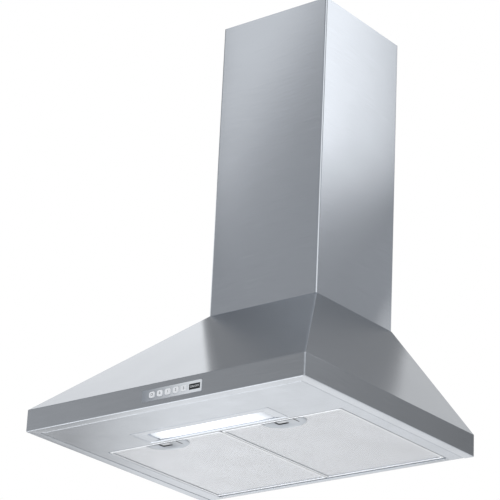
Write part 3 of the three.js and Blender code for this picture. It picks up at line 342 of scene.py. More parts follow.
# Each column of the outline: how far it is out sideways and forwards, and which way its corner arc points.
arc = np.linspace(0, math.pi / 2, 5)
window_at = [x / (half_width - hip) for x in window_x]
columns = np.array(
    [(-1, 0, -1, 0)] + [(-1, 1, -math.cos(t), -math.sin(t)) for t in arc] + [(u, 1, 0, -1) for u in window_at]
    + [(1, 1, math.sin(t), -math.cos(t)) for t in arc] + [(1, 0, 1, 0)])
side, ahead, arc_x, arc_y = columns.T
wide, deep, height = profile.T[:, :, None]
grid = np.stack([side * (wide - hip) + arc_x * hip, -ahead * (deep - hip) + arc_y * hip,
                 height + 0 * side], -1)
keep = np.ones((len(profile) - 1, len(columns) - 1), bool)
keep[len(lower) - 1, len(arc) + 1] = False
canopy = sheet(shape("canopy_skin", surface(grid, keep=keep)), steel_sheet)
fit(canopy, canopy_steel, "hood", "stainless_steel", "canopy_shell")

# ---- Chimney covers ----
# Two U-shaped covers of the same sheet, the inner one sliding in the outer. Each is its plan, with 3 mm bends
# and a flange against the wall, carried straight up. The inner cover has five air slots with round ends in
# each side.
cover_steel = brushed_steel("brushed_stainless_chimney", "c6cbd2", rough=0.17)
cover_flange, cover_bend = 22 * mm, 3 * mm


def cover_plan(node):
    """The cover's outline in plan from one wall flange round its front to the other."""
    low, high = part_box(node)
    return bent([(low.x + cover_flange, high.y), (low.x, high.y), (low.x, low.y), (high.x, low.y),
                 (high.x, high.y), (high.x - cover_flange, high.y)], cover_bend)


def carried_up(plan, heights):
    """A grid of points: the plan is one line of points, or one for each height."""
    plan = np.broadcast_to(plan, (len(heights), *np.shape(plan)[-2:]))
    levels = np.broadcast_to(np.reshape(heights, (-1, 1, 1)), (*plan.shape[:2], 1))
    return np.concatenate([plan, levels], -1)


low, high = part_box("lower_chimney")
outer_grid = carried_up(cover_plan("lower_chimney"), [low.z, high.z])
outer_cover = sheet(shape("chimney_outer_cover", surface(outer_grid)), steel_sheet)
fit(outer_cover, cover_steel, "hood", "stainless_steel", "lower_chimney")

# A slot is a gap between two columns of the grid. They come together in its round ends, by slot_half times
# sin(t) as the height goes by slot_half times (1 - cos(t)), and the faces between them are left out.
low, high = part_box("upper_chimney")
slot_half, slot_pitch, slot_length, slot_drop = 2.5 * mm, 14 * mm, 60 * mm, 45 * mm
slots, slots_middle = 5, -117.5 * mm
plan = cover_plan("upper_chimney")
quarter = np.linspace(0, math.pi / 2, 4)
ends = slot_half * (1 - np.cos(quarter))
opening = slot_half * np.sin(quarter)
slot_top = high.z - slot_drop
heights = np.concatenate([[low.z], slot_top - slot_length + ends, slot_top - ends[::-1], [high.z]])
openness = np.concatenate([[slot_half], opening, opening[::-1], [slot_half]])
centres = slots_middle + (np.arange(slots) - (slots - 1) / 2) * slot_pitch
front_from = 1 + np.argmax(plan[:, 1] < centres[0] - slot_pitch)
front_to = len(plan) - front_from
rows = []
for half_open in openness:
    edges = np.stack([centres - half_open, centres + half_open], 1).ravel()
    left = np.stack([np.full(edges.shape, low.x), edges[::-1]], 1)
    right = np.stack([np.full(edges.shape, high.x), edges], 1)
    rows.append(np.concatenate([plan[:front_from - 1], left, plan[front_from - 1:front_to + 1], right,
                                plan[front_to + 1:]]))
keep = np.ones((len(heights) - 1, len(rows[0]) - 1), bool)
for start in (front_from - 1, len(rows[0]) - (len(plan) - front_to - 1) - 2 * slots):
    keep[1:-1, start:start + 2 * slots:2] = False
inner_grid = carried_up(np.array(rows), heights)
inner_cover = sheet(shape("chimney_inner_cover", surface(inner_grid, keep=keep)), steel_sheet)
fit(inner_cover, cover_steel, "upper_cover", "stainless_steel", "upper_chimney")

# ---- Underside panel ----
# The deck is pressed from the canopy's steel and sits 1 mm inside the rim, its edges folded over 1 mm. A
# flange stands up round the filter opening. It is a flat grid with two openings, and a ring of folds round
# each edge.


def loop(x0, x1, y0, y1, radius, z, steps=3):
    """A rectangle at one height, anticlockwise from above, with arcs of that radius at its corners."""
    t = np.radians(np.linspace(-90, 0, steps + 1))
    arcs = [(cx + radius * np.cos(t + a), cy + radius * np.sin(t + a)) for cx, cy, a in (
        (x1 - radius, y0 + radius, 0), (x1 - radius, y1 - radius, math.pi / 2),
        (x0 + radius, y1 - radius, math.pi), (x0 + radius, y0 + radius, 1.5 * math.pi))]
    x, y = np.concatenate(arcs, 1)
    return np.stack([x, y, np.full(x.shape, z)], 1)


def out(rect, by):
    """The rectangle moved out on every side."""
    return rect[0] - by, rect[1] + by, rect[2] - by, rect[3] + by


deck_z, edge_fold, guard = bottom + 0.2 * mm, 1 * mm, 1 * mm
seat_upstand, lap_width, lap_z = 8.2 * mm, 9 * mm, bottom + 1.5 * mm
deck_rect = (-280 * mm, 280 * mm, -481 * mm, -1.5 * mm)
seat_rect = (-253.1 * mm, 253.1 * mm, -334.6 * mm, -13 * mm)
lamp_rect = (-150 * mm, 150 * mm, -398 * mm, -341 * mm)
fold_turn = np.linspace(0, math.pi / 2, 4)

inner_deck = out(deck_rect, -edge_fold)
outer_seat, outer_lamp = out(seat_rect, edge_fold), out(lamp_rect, edge_fold)
xs = np.sort([inner_deck[0], inner_deck[0] + guard, outer_seat[0] - guard, outer_seat[0], outer_lamp[0],
              outer_lamp[1], outer_seat[1], outer_seat[1] + guard, inner_deck[1] - guard, inner_deck[1]])
ys = np.sort([inner_deck[2], inner_deck[2] + guard, outer_lamp[2], outer_lamp[3], outer_seat[2] - guard,
              outer_seat[2], outer_seat[3], inner_deck[3] - guard, inner_deck[3]])[::-1]
flat = np.stack([*np.meshgrid(xs, ys), np.full((len(ys), len(xs)), deck_z)], -1)
at_x, at_y = np.meshgrid((xs[1:] + xs[:-1]) / 2, (ys[1:] + ys[:-1]) / 2)
keep = np.ones(at_x.shape, bool)
for hole in (outer_seat, outer_lamp):
    keep &= (at_x < hole[0]) | (at_x > hole[1]) | (at_y < hole[2]) | (at_y > hole[3])
rim_fold = [loop(*out(inner_deck, edge_fold * math.sin(t)), edge_fold * math.sin(t),
                 deck_z + edge_fold * (1 - math.cos(t))) for t in fold_turn]
# Past its fold the deck laps over the canopy's rim, but not at the wall.
lap = (*out(deck_rect, lap_width)[:3], deck_rect[3])
rim_fold += [loop(*deck_rect, edge_fold, lap_z), loop(*lap, edge_fold, lap_z)]


def opening_fold(rect, stand):
    """The folded edge of an opening from the top of its upstand down to the flat of the panel."""
    made = [loop(*rect, 0, deck_z + stand)] if stand > edge_fold else []
    return made + [loop(*out(rect, edge_fold * (1 - math.sin(t))), 0, deck_z + edge_fold * (1 - math.cos(t)))
                   for t in fold_turn[::-1]]


deck = shape("underside_deck", surface(flat, keep=keep), surface(rim_fold, True),
             surface(opening_fold(seat_rect, seat_upstand), True),
             surface(opening_fold(lamp_rect, edge_fold), True))
fit(sheet(deck, steel_sheet), canopy_steel, "hood", "stainless_steel", "underside_panel")

# ---- Grease filters ----
# Each filter is a channel frame of bright aluminium round a pad of stretched aluminium mesh: strands zigzag
# so that neighbours touch and leave diamonds. Two open layers lie over a crimped backing foil, and a pressed
# cup for the fingers is let into the front edge.


def bare_metal(name, colour, rough, grain_mm, bump_by, mottles_per_m=14.0):
    """Bare metal, faintly mottled, with an even grain that breaks up its gloss.

    The grain is coarse where the metal is cast or crimped, and fine where it is rolled or ground."""
    made, tree, shade = finish_of(name)
    where = add(tree, "TexCoord").outputs["Object"]
    grain = add(tree, "TexVoronoi", {"Vector": where, "Scale": 1000 / grain_mm})
    mottle = add(tree, "TexNoise", {"Vector": where, "Scale": mottles_per_m, "Detail": 3.0})
    tone = add(tree, "ValToRGB", {"Fac": mottle.outputs["Fac"]})
    dark, light = tone.color_ramp.elements
    dark.position, light.position = 0.25, 0.75
    dark.color, light.color = linear(colour, 0.94), linear(colour)
    tree.links.new(tone.outputs["Color"], shade.inputs["Base Color"])
    bump = add(tree, "Bump", {"Height": grain.outputs["Distance"], "Strength": bump_by, "Distance": 0.3 * mm})
    tree.links.new(bump.outputs[0], shade.inputs["Normal"])
    shade.inputs["Metallic"].default_value = 1.0
    shade.inputs["Roughness"].default_value = rough
    return made


# The frame and mesh are bright, the pressed cup is greyer, and the foil behind the strands is crimped.
frame_aluminium = bare_metal("rolled_aluminium_frame", "ebeef2", rough=0.26, grain_mm=3.0, bump_by=0.03)
mesh_aluminium = bare_metal("stretched_aluminium_mesh", "eff2f7", rough=0.27, grain_mm=2.0, bump_by=0.03)
latch_aluminium = bare_metal("pressed_aluminium_latch", "bec4cc", rough=0.3, grain_mm=3.0, bump_by=0.03)
foil_aluminium = bare_metal("crimped_aluminium_foil", "d0d3d8", rough=0.3, grain_mm=1.6, bump_by=0.12)

# A real mesh has strands of about 1 mm, which are too fine to show here, so these are nearly twice as coarse.
mesh_pitch, strand_rise, strand_width, strand_tilt = 5.6 * mm, 2.2 * mm, 1.82 * mm, 0.05 * mm
mesh_layers, foil_level, mesh_under_latch = (0.05 * mm, 0.2 * mm), 0.35 * mm, 1 * mm
latch_half, latch_deep, latch_shoulder = 42 * mm, 40 * mm, 0.3
pocket_half, pocket_deep, pocket_start, pocket_shift = 11.5 * mm, 15 * mm, 4 * mm, 5.5 * mm
pocket_power = 0.25


def stretched(x0, x1, y0, y1, z, phase):
    """A layer of stretched mesh between two corners.

    The middle of strand k is at k times the rise plus a triangle wave of half (rise less width), its sign
    turned on every other strand, so that neighbouring strands touch at each turn. One edge of a strand is
    lifted by the tilt."""
    strands = int((y1 - y0 - strand_width) / strand_rise)
    turns = int((x1 - x0) / (mesh_pitch / 2))
    x = np.linspace(x0, x1, turns + 1)
    wave = np.where((np.arange(turns + 1) + phase) % 2, 1.0, -1.0) * (strand_rise - strand_width) / 2
    k = np.arange(strands)
    middle = y0 + strand_rise * (k + 0.5)[:, None] + np.where(k % 2, 1, -1)[:, None] * wave
    edges = [(middle + side * strand_width / 2, z + side * strand_tilt / 2) for side in (1, -1)]
    points = np.stack([np.stack([np.broadcast_to(x, middle.shape), y, np.full(middle.shape, height)], -1)
                       for y, height in edges], 1)
    first = (k[:, None] * 2 * (turns + 1) + np.arange(turns)).ravel()
    faces = np.stack([first, first + 1, first + turns + 2, first + turns + 1], 1)
    return points.reshape(-1, 3), faces


def latch_loop(centre, front, grow, z):
    """The latch plate's outline, moved out by grow: straight in front and half an ellipse behind."""
    half, shoulder = latch_half + grow, front + latch_deep * latch_shoulder
    t = np.linspace(0, math.pi, 17)
    x = np.concatenate([[-half, 0, half], half * np.cos(t)])
    y = np.concatenate([[front - grow] * 3, shoulder + (front + latch_deep + grow - shoulder) * np.sin(t)])
    return np.stack([centre + x, y, np.full(x.shape, z)], 1)


def pocket_loop(centre, front, grow, z):
    """The finger pocket in the latch plate, in the same steps.

    Its rear half is a squarish ellipse: cosine and sine are each raised to the pocket's power."""
    half, deep, start = pocket_half + grow, pocket_deep + grow, front + pocket_start
    t = np.linspace(0, math.pi, 17)
    x = np.concatenate([[-half, 0, half], half * np.sign(np.cos(t)) * np.abs(np.cos(t)) ** pocket_power])
    y = np.concatenate([[start - grow] * 3, start + deep * np.sin(t) ** pocket_power])
    return np.stack([centre - pocket_shift + x, y, np.full(x.shape, z)], 1)


def clear_of_latch(surfaces, centre, front, room):
    """Drops the faces whose middle is within the latch plate's outline plus some room."""
    points, faces = surfaces
    x, y = points[faces].mean(1).T[:2]
    half, shoulder = latch_half + room, front + latch_deep * latch_shoulder
    rise = front + latch_deep + room - shoulder
    beyond = np.maximum(y - shoulder, 0) / rise
    inside = (np.abs(x - centre) / half) ** 2 + beyond ** 2 < 1
    return points, faces[~inside]


def capped(loops):
    """A closed surface through loops, shut by a fan at each end."""
    loops = np.asarray(loops)
    first, last = (np.broadcast_to(row.mean(0), row.shape) for row in (loops[0], loops[-1]))
    return surface(np.concatenate([[first], loops, [last]]), True)


def block(x0, x1, y0, y1, z0, z1, radius=0.0, edge=0.3 * mm):
    """A block with eased edges and upright corners of that radius."""
    rect = (x0, x1, y0, y1)
    loops = [loop(*out(rect, -edge), max(radius - edge, 0), z0), loop(*rect, radius, z0 + edge),
             loop(*rect, radius, z1 - edge), loop(*out(rect, -edge), max(radius - edge, 0), z1)]
    return capped(loops)


frame_skin, frame_lip, frame_fold, frame_corner, frame_rear = 0.8 * mm, 4 * mm, 1 * mm, 3 * mm, -20 * mm
lip_rise, lip_ease = 0.9 * mm, 0.3 * mm
tab_half, tab_at, tab_root, tab_low, tab_top = 10 * mm, 85.25 * mm, 2 * mm, 5 * mm, 5.8 * mm
# How far out from its edge and how high each step of the cup is, in mm: its side, a fold, a flat, a shallow
# bead and the flat round the pocket. The pocket's wall follows.
plate_steps = [(0, 6.0), (0, 0.5), (-0.3, 0.1), (-0.7, 0), (-2.2, 0), (-2.5, 0.3), (-3.0, 0.3), (-3.3, 0.05),
               (-4, 0.05)]
pocket_steps = [(0.3, 0.05), (0, 0.2), (0, 5.2)]
for side in ("left", "right"):
    body = side + "_filter"
    low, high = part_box("filter_frame_" + side)
    rect = (low.x, high.x, low.y, frame_rear)
    steps = [(-frame_lip, lip_rise), (-frame_lip, lip_ease), (lip_ease - frame_lip, 0)]
    steps += [(-frame_fold * (1 - math.sin(t)), frame_fold * (1 - math.cos(t))) for t in fold_turn]
    steps += [(0, high.z - low.z), (-frame_lip, high.z - low.z)]
    rings = [loop(*out(rect, by), max(frame_corner + by, 0.2 * mm), low.z + up) for by, up in steps]
    channel = sheet(shape("filter_channel_" + side, surface(rings, True)), frame_skin)
    fit(channel, frame_aluminium, body, "filter_aluminium", "filter_frame_" + side)
    middle = (low.x + high.x) / 2
    tabs = [block(middle + at - tab_half, middle + at + tab_half, frame_rear - tab_root, high.y,
                  low.z + tab_low, low.z + tab_top) for at in (-tab_at, tab_at)]
    fit(shape("filter_rear_tabs_" + side, *tabs), frame_aluminium, body, "filter_aluminium")

    low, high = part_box("filter_mesh_" + side)
    layers = []
    for phase, height in enumerate(mesh_layers):
        layer = stretched(low.x, high.x, low.y, high.y, low.z + height, phase)
        layers.append(clear_of_latch(layer, middle, low.y, -mesh_under_latch))
    pad = shape("filter_mesh_layers_" + side, *layers)
    fit(pad, mesh_aluminium, body, "filter_aluminium", "filter_mesh_" + side)
    foil = block(low.x, high.x, low.y, high.y, low.z + foil_level, high.z)
    fit(shape("filter_foil_" + side, foil), foil_aluminium, body, "filter_aluminium")

    low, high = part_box("latch_plate_" + side)
    rings = [latch_loop(middle, low.y, by * mm, low.z + up * mm) for by, up in plate_steps]
    rings += [pocket_loop(middle, low.y, by * mm, low.z + up * mm) for by, up in pocket_steps]
    cup = shape("latch_cup_" + side, capped(rings[::-1]), sharp=40)
    fit(cup, latch_aluminium, body, "filter_aluminium", "latch_plate_" + side)

# ---- Lamp ----
# The lamp's frame, of the canopy's steel, slopes up from the deck to a frosted lens. Two candle bulbs light
# the lens from behind: it is white in the middle and fades a little towards its ends.
lens_low, lens_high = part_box("lamp_lens")
bezel_rect = (-149.7 * mm, 149.7 * mm, -397.7 * mm, -341.3 * mm)
lens_rect = (-123.6 * mm, 123.6 * mm, -378.6 * mm, -344.4 * mm)
bezel_skin = 0.8 * mm
# From the lens outwards: the rectangle, how far out of it and with what corner radius in mm, and the height.
bezel_steps = [
    (lens_rect, 0.4, 2, lens_low.z + 1.0 * mm), (lens_rect, 0.4, 2, lens_low.z),
    (lens_rect, 0.8, 2.4, lens_low.z - 0.3 * mm), (lens_rect, 1.8, 3, deck_z + 1.6 * mm),
    (lens_rect, 2.6, 3.2, deck_z + 1.2 * mm), (bezel_rect, -2.6, 2.5, deck_z + 0.6 * mm),
    (bezel_rect, -2.0, 3, deck_z + 0.1 * mm), (bezel_rect, -0.6, 3, deck_z),
    (bezel_rect, -0.1, 3, deck_z + 0.2 * mm), (bezel_rect, 0, 3, deck_z + 0.6 * mm),
    (bezel_rect, 0, 3, deck_z + 1.6 * mm)]
bezel = [loop(*out(rect, by * mm), radius * mm, z) for rect, by, radius, z in bezel_steps]
bezel_frame = sheet(shape("lamp_sloped_frame", surface(bezel, True), sharp=25), bezel_skin)
fit(bezel_frame, canopy_steel, "hood", "stainless_steel", "lamp_bezel")

# Frosted acrylic spreads the bulbs' light, so it glows evenly over most of its length, and has a dull shine.
lens_glow, tree, shade = finish_of("frosted_lens_lit")
even_until, dim_end, end_glow, frost_per_m = 80 * mm, 124 * mm, 0.35, 900.0
where = add(tree, "TexCoord").outputs["Object"]
frost = add(tree, "TexNoise", {"Vector": where, "Scale": frost_per_m, "Detail": 2.0})
bump = add(tree, "Bump", {"Height": frost.outputs["Fac"], "Strength": 0.2, "Distance": 0.2 * mm})
tree.links.new(bump.outputs[0], shade.inputs["Normal"])
out_by = add(tree, "Math", {0: add(tree, "SeparateXYZ", {0: where}).outputs["X"]}, operation="ABSOLUTE")
fade = add(tree, "MapRange", {"Value": out_by.outputs[0], "From Min": even_until, "From Max": dim_end,
                              "To Min": 1.0, "To Max": end_glow}, interpolation_type="SMOOTHSTEP")
tree.links.new(fade.outputs[0], shade.inputs["Emission Strength"])
shade.inputs["Emission Color"].default_value = linear("fbfcff")
shade.inputs["Base Color"].default_value = linear("b9bec4")
shade.inputs["Roughness"].default_value = 0.45

# The lens is a shallow tray that hangs 5.2 mm below its rim, nearly level with the frame: for each step, how
# far out of its rectangle and how high it is, in mm. Its front slopes back by lens_front_slope times its
# depth, which lets it swing down about its front edge without touching the frame. Two lugs stand at its
# hinge.
lens_steps = [(-12, -5.2), (-6, -5.1), (-3.6, -4.8), (-2.2, -4.1), (-1.3, -3), (-0.9, -1.2), (-0.8, 0),
              (0, 0.4), (0, 2.2), (-1.5, 2.4)]
lens_front_slope, lens_corner = 1.9, 2 * mm
lug_at, lug_half, lug_y, lug_rise = 94 * mm, 5 * mm, (-382 * mm, -376 * mm), 1.9 * mm
lugs = [block(at - lug_half, at + lug_half, *lug_y, lens_low.z + lug_rise, lens_high.z)
        for at in (-lug_at, lug_at)]
tray = []
for by, up in lens_steps:
    x0, x1, y0, y1 = out(lens_rect, by * mm)
    y0 = max(y0, lens_rect[2] - up * lens_front_slope * mm)
    tray.append(loop(x0, x1, y0, y1, max(lens_corner + by * mm, 0.2 * mm), lens_low.z + up * mm))
lens = shape("frosted_lens", capped(tray), *lugs)
fit(lens, lens_glow, "lens", "frosted_lens", "lamp_lens")

# ---- Latches ----
# The tongue is a moulded slider with a finger ridge, which a finger pulls back against a spring. It stands in
# the pocket of the latch cup, lined with a matt black cup of painted shade, and beside the pocket a thin
# black block is a painted shadow of a narrow slit.


def plastic(name, colour, rough, grain_mm=0.6, tone_by=0.04, flows_per_m=30.0):
    """Moulded plastic: a spark-eroded grain dulls its shine, and its flow leaves a slight mottling."""
    made, tree, shade = finish_of(name)
    where = add(tree, "TexCoord").outputs["Object"]
    flow = add(tree, "TexNoise", {"Vector": where, "Scale": flows_per_m, "Detail": 3.0})
    tone = add(tree, "ValToRGB", {"Fac": flow.outputs["Fac"]})
    dark, light = tone.color_ramp.elements
    dark.position, light.position = 0.3, 0.7
    dark.color, light.color = linear(colour, 1 - tone_by), linear(colour, 1 + tone_by)
    tree.links.new(tone.outputs["Color"], shade.inputs["Base Color"])
    grain = add(tree, "TexNoise", {"Vector": where, "Scale": 1000 / grain_mm, "Detail": 1.0})
    bump = add(tree, "Bump", {"Height": grain.outputs["Fac"], "Strength": 0.15, "Distance": 0.1 * mm})
    tree.links.new(bump.outputs[0], shade.inputs["Normal"])
    shade.inputs["Roughness"].default_value = rough
    shade.inputs["IOR"].default_value = 1.5
    return made


# ABS for the sliders and boxes. The well is painted shade: matt black with almost no shine, so that it reads
# as a deep hole in shadow.
grey_plastic = plastic("grey_moulded_plastic", "b4b9bf", rough=0.4)
black_plastic = plastic("black_moulded_plastic", "26282b", rough=0.5)
painted_shade_black = plastic("painted_shade_black_well", "0c0d0e", rough=0.9)
painted_shade_black.node_tree.nodes["Principled BSDF"].inputs["Specular IOR Level"].default_value = 0.1

# Places are from the middle of the slider in x, and from the front of the slider or cup in y.
ridge_x, ridge_y = (-3 * mm, 5.5 * mm), (1.6 * mm, 8 * mm)
stem_x, stem_thick = (-2 * mm, 4.5 * mm), 1.2 * mm
slit_x, slit_y, slit_z = (24 * mm, 26 * mm), (1.5 * mm, 20 * mm), (-0.02 * mm, 0.3 * mm)
well_inset, well_steps = 0.05 * mm, [(-0.6, 4.6), (-0.3, 0.4), (0, 0.4), (0, 5.15)]
for side in ("left", "right"):
    low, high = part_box("latch_tongue_" + side)
    middle = (low.x + high.x) / 2
    ridge = block(middle + ridge_x[0], middle + ridge_x[1], low.y + ridge_y[0], low.y + ridge_y[1],
                  low.z, high.z, 1 * mm, 0.5 * mm)
    stem = block(middle + stem_x[0], middle + stem_x[1], low.y, high.y, high.z - stem_thick, high.z, 0.5 * mm)
    slider = shape("latch_slider_" + side, ridge, stem)
    fit(slider, grey_plastic, side + "_latch", "grey_plastic", "latch_tongue_" + side)
    # The well is an open cup of painted shade, black inside the pocket: its inner floor and rim come first,
    # then its outer rim and floor. The slit is a thin black block of painted shadow.
    low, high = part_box("latch_plate_" + side)
    well = [pocket_loop(middle, low.y, by * mm - well_inset, low.z + up * mm) for by, up in well_steps]
    slit = block(middle + slit_x[0], middle + slit_x[1], low.y + slit_y[0], low.y + slit_y[1],
                 low.z + slit_z[0], low.z + slit_z[1], edge=0.02 * mm)
    fit(shape("latch_painted_shade_well_" + side, capped(well), slit), painted_shade_black, side + "_filter", "black_plastic")

# ---- Controls ----
# A printed strip of pale film on the band, darker at its left end, with five push buttons that carry generic
# marks: a lamp ring, 0 and the speeds 1 to 3. Its right end has a dark printed field.
low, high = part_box("control_panel")
film = plastic("printed_control_film", "c3c8cd", rough=0.35, grain_mm=0.8)
tree = film.node_tree
shade = tree.nodes["Principled BSDF"]
along_x = add(tree, "SeparateXYZ", {0: add(tree, "TexCoord").outputs["Object"]}).outputs["X"]
along_strip = add(tree, "MapRange", {"Value": along_x, "From Min": low.x, "From Max": high.x})
tint = add(tree, "ValToRGB", {"Fac": along_strip.outputs[0]})
left_tint, right_tint = tint.color_ramp.elements
left_tint.color, right_tint.color = linear("8b9097"), linear("dfe2e5")
right_tint.position = 0.75
tree.links.new(tint.outputs["Color"], shade.inputs["Base Color"])


def copied(node, name, edge=0.0):
    """A copy of a CAD node's mesh, merged, its flat faces joined and its edges eased by edge."""
    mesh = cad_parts[node].data.copy()
    mesh.name = name
    mesh.materials.clear()
    merged(mesh, flatten=True)
    mesh.shade_smooth()
    mesh.set_sharp_from_angle(angle=math.radians(30))
    piece = place(mesh, name)
    if edge:
        ease = piece.modifiers.new("ease", "BEVEL")
        ease.width = edge
        ease.segments = 2
        ease.limit_method = "ANGLE"
        ease.angle_limit = math.radians(35)
        ease.harden_normals = True
    return piece


def dress(node, name, material, slot, body="hood", edge=0.0):
    """A finished copy of a CAD node, in the node's place."""
    fit(copied(node, name, edge), material, body, slot, node)


dress("control_panel", "control_strip", film, "white_plastic", edge=0.15 * mm)
# Buttons and letters are smooth white plastic with a soft shine, and printed ink is flat and nearly black.
button_white = plastic("white_button_plastic", "eceef0", rough=0.3)
print_ink = plastic("dark_printed_ink", "1b1e22", rough=0.55)


def lettering(name, words, size, x, y, z, thick=0.04 * mm):
    """Flat printed lettering that faces the front, centred at a point."""
    text = bpy.data.curves.new(name, "FONT")
    text.body = words
    text.size = size
    text.extrude = thick
    text.align_x = "CENTER"
    text.align_y = "CENTER"
    drawn = bpy.data.objects.new(name, text)
    mesh = bpy.data.meshes.new_from_object(drawn)
    bpy.data.objects.remove(drawn)
    mesh.transform(Matrix(((1, 0, 0, x), (0, 0, -1, y), (0, 1, 0, z), (0, 0, 0, 1))))
    return place(mesh, name)


def facing_front(loops):
    """Loops drawn level, with their y and z changed over, so that what was height is depth from the front."""
    return np.asarray(loops)[:, :, [0, 2, 1]]


# A button's face is dished. Each step is how far out of its edge and how deep behind its front it is, in mm.
button_steps = [(-1.6, 0.25), (-1.2, 0.08), (-0.6, 0.0), (-0.2, 0.15), (0, 0.5)]
button_corner, mark_size, mark_behind = 3 * mm, 6.5 * mm, 0.2 * mm
for number, mark in enumerate(("O", "0", "1", "2", "3"), 1):
    low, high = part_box(f"push_button_{number}")
    rect = (low.x, high.x, low.z, high.z)
    loops = [loop(*out(rect, by * mm), max(button_corner + by * mm, 0.3 * mm), low.y + deep * mm)
             for by, deep in button_steps]
    loops.append(loop(*rect, button_corner, high.y))
    cap = shape(f"button_cap_{number}", capped(facing_front(loops)))
    fit(cap, button_white, f"button_{number}", "white_plastic", f"push_button_{number}")
    printed = lettering(f"button_mark_{number}", mark, mark_size, (low.x + high.x) / 2, low.y + mark_behind,
                        (low.z + high.z) / 2)
    fit(printed, print_ink, f"button_{number}", "black_plastic")

low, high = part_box("control_panel")
middle_z = (low.z + high.z) / 2
field_x, field_half, field_corner = (64 * mm, 87 * mm), 5 * mm, 0.8 * mm
field_behind, field_proud = 0.3 * mm, 0.06 * mm
words_x, words_size, words_proud = 75.5 * mm, 5.2 * mm, 0.08 * mm
field_loops = [loop(*field_x, middle_z - field_half, middle_z + field_half, field_corner, y)
               for y in (low.y + field_behind, low.y - field_proud)]
field = shape("dark_printed_field", capped(facing_front(field_loops)))
fit(field, print_ink, "hood", "black_plastic")
field_words = lettering("field_lettering", "ON/OFF", words_size, words_x, low.y - words_proud, middle_z)
fit(field_words, button_white, "hood", "white_plastic")

# ---- Lamp body and bulbs ----
# A pressed zinc-coated box behind the lens holds two screw lampholders of white plastic, and in each a candle
# bulb of satin glass with a rolled brass cap.


def spangled_zinc(name, colour, spangle_mm=9.0, warps_per_m=60.0, warp_by=12 * mm):
    """Hot-dip galvanised sheet: flat crystals of zinc with uneven edges, each of its own tone and gloss."""
    made, tree, shade = finish_of(name)
    where = add(tree, "TexCoord").outputs["Object"]
    warp = add(tree, "TexNoise", {"Vector": where, "Scale": warps_per_m, "Detail": 2.0})
    moved_by = add(tree, "VectorMath", {0: warp.outputs["Color"], "Scale": warp_by}, operation="SCALE")
    moved = add(tree, "VectorMath", {0: where, 1: moved_by.outputs[0]}, operation="ADD")
    crystals = add(tree, "TexVoronoi", {"Vector": moved.outputs[0], "Scale": 1000 / spangle_mm})
    each = add(tree, "SeparateColor", {0: crystals.outputs["Color"]})
    tone = add(tree, "ValToRGB", {"Fac": each.outputs[0]})
    dark, light = tone.color_ramp.elements
    dark.color, light.color = linear(colour, 0.78), linear(colour)
    tree.links.new(tone.outputs["Color"], shade.inputs["Base Color"])
    gloss = add(tree, "MapRange", {"Value": each.outputs[1], "To Min": 0.3, "To Max": 0.48})
    tree.links.new(gloss.outputs[0], shade.inputs["Roughness"])
    bump = add(tree, "Bump", {"Height": crystals.outputs["Distance"], "Strength": 0.08, "Distance": 0.3 * mm})
    tree.links.new(bump.outputs[0], shade.inputs["Normal"])
    shade.inputs["Metallic"].default_value = 0.8
    return made


zinc = spangled_zinc("galvanised_spangled_steel", "c3c7ca")
brass = bare_metal("rolled_brass_cap", "d8c08a", rough=0.3, grain_mm=1.2, bump_by=0.2)
white_plastic = plastic("white_moulded_plastic", "e4e5e3", rough=0.4)
# Acid-etched glass, which lets light through but no clear view, and is warm where the filament glows.
satin_glass, tree, shade = finish_of("satin_bulb_glass")
etch_per_m = 1500.0
where = add(tree, "TexCoord").outputs["Object"]
etch = add(tree, "TexNoise", {"Vector": where, "Scale": etch_per_m, "Detail": 2.0})
etch_depth = add(tree, "MapRange", {"Value": etch.outputs["Fac"], "To Min": 0.25, "To Max": 0.4})
tree.links.new(etch_depth.outputs[0], shade.inputs["Roughness"])
shade.inputs["Base Color"].default_value = linear("f7f5ef")
shade.inputs["Transmission Weight"].default_value = 0.35
shade.inputs["IOR"].default_value = 1.5
shade.inputs["Emission Color"].default_value = linear("fff4e0")
shade.inputs["Emission Strength"].default_value = 0.5
dress("lamp_housing", "lamp_pressed_housing", zinc, "galvanised_steel")
for side in ("left", "right"):
    dress("lamp_holder_" + side, "lampholder_" + side, white_plastic, "white_plastic", edge=0.6 * mm)
    dress("bulb_cap_" + side, "screw_cap_" + side, brass, "brass")
    dress("bulb_glass_" + side, "candle_bulb_" + side, satin_glass, "bulb_glass")

# ---- Switch block ----
# The buttons run in a black moulded block on a circuit board behind the band. The board's green solder mask
# shows its paler copper tracks.
board_green = plastic("green_solder_mask", "2f6b45", rough=0.3, grain_mm=1.5, tone_by=0.1)
tree = board_green.node_tree
shade = tree.nodes["Principled BSDF"]
where = add(tree, "TexCoord").outputs["Object"]
tracks_per_m = 160.0
tracks = add(tree, "TexBrick", {"Vector": where, "Scale": tracks_per_m, "Mortar Size": 0.04,
                                "Color1": linear("2f6b45"), "Color2": linear("2b6340"),
                                "Mortar": linear("4f8a5c")})
tree.links.new(tracks.outputs["Color"], shade.inputs["Base Color"])
dress("switch_body", "switch_block", black_plastic, "black_plastic", edge=0.4 * mm)
dress("switch_board", "switch_circuit_board", board_green, "circuit_board")

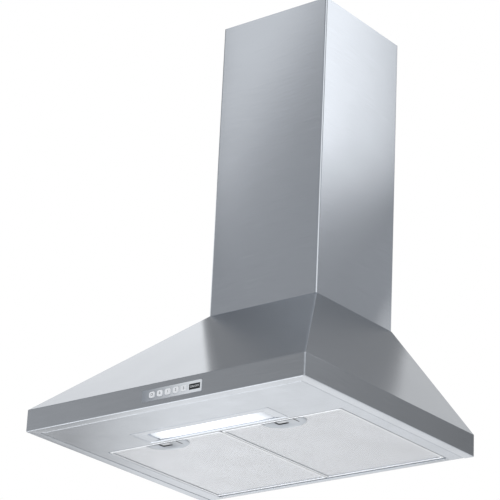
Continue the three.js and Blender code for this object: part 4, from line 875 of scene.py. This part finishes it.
# ---- Back plate, filter rail, wall bracket and top plate ----
# Folded galvanised sheet: the back plate hangs on two wall screws, the rail takes the filters' rear tabs, the
# bracket holds the top of the chimney, and the top plate carries the blower.
dress("rear_panel", "back_plate", zinc, "galvanised_steel")
dress("filter_rail", "rear_filter_rail", zinc, "galvanised_steel")
dress("wall_bracket", "chimney_wall_bracket", zinc, "galvanised_steel", "upper_cover")
dress("top_plate", "blower_top_plate", zinc, "galvanised_steel")

# ---- Blower ----
# The scroll is galvanised sheet between two side plates. A moulded ring leads the air into a squirrel-cage
# wheel, which sits on the shaft of a cast aluminium motor with its capacitor beside it.
cast_aluminium = bare_metal("sand_cast_aluminium", "b3b5b7", rough=0.45, grain_mm=1.4, bump_by=0.5)
ground_steel = bare_metal("ground_steel_shaft", "b9bcc0", rough=0.25, grain_mm=0.8, bump_by=0.05)
dress("scroll_wrap", "scroll_sheet", zinc, "galvanised_steel")
dress("inlet_plate", "scroll_inlet_side", zinc, "galvanised_steel")
dress("motor_plate", "scroll_motor_side", zinc, "galvanised_steel")
dress("inlet_ring", "moulded_inlet_ring", black_plastic, "black_plastic")
dress("impeller", "squirrel_cage_wheel", black_plastic, "black_plastic", "wheel")
dress("motor_shaft", "motor_shaft_rod", ground_steel, "stainless_steel", "wheel")
dress("motor_body", "motor_casting", cast_aluminium, "cast_aluminium", edge=0.5 * mm)
dress("motor_end_cap", "motor_end_casting", cast_aluminium, "cast_aluminium", edge=0.5 * mm)
dress("capacitor", "motor_capacitor", white_plastic, "white_plastic")

# ---- Outlet and supply ----
# The collar clips into the top plate and carries two thin flaps that shut under their weight. The supply
# comes in through a gland to a terminal block in a grey box with a screwed lid.
dress("outlet_collar", "moulded_outlet_collar", black_plastic, "black_plastic")
dress("damper_flap_front", "non_return_flap_front", black_plastic, "black_plastic", "front_damper")
dress("damper_flap_rear", "non_return_flap_rear", black_plastic, "black_plastic", "rear_damper")
dress("cable_gland", "supply_cable_gland", black_plastic, "black_plastic", edge=0.4 * mm)
dress("junction_box", "supply_box", grey_plastic, "grey_plastic", edge=0.6 * mm)
dress("junction_lid", "supply_box_lid", grey_plastic, "grey_plastic", edge=0.6 * mm)
dress("terminal_block", "supply_terminals", white_plastic, "white_plastic", edge=0.4 * mm)
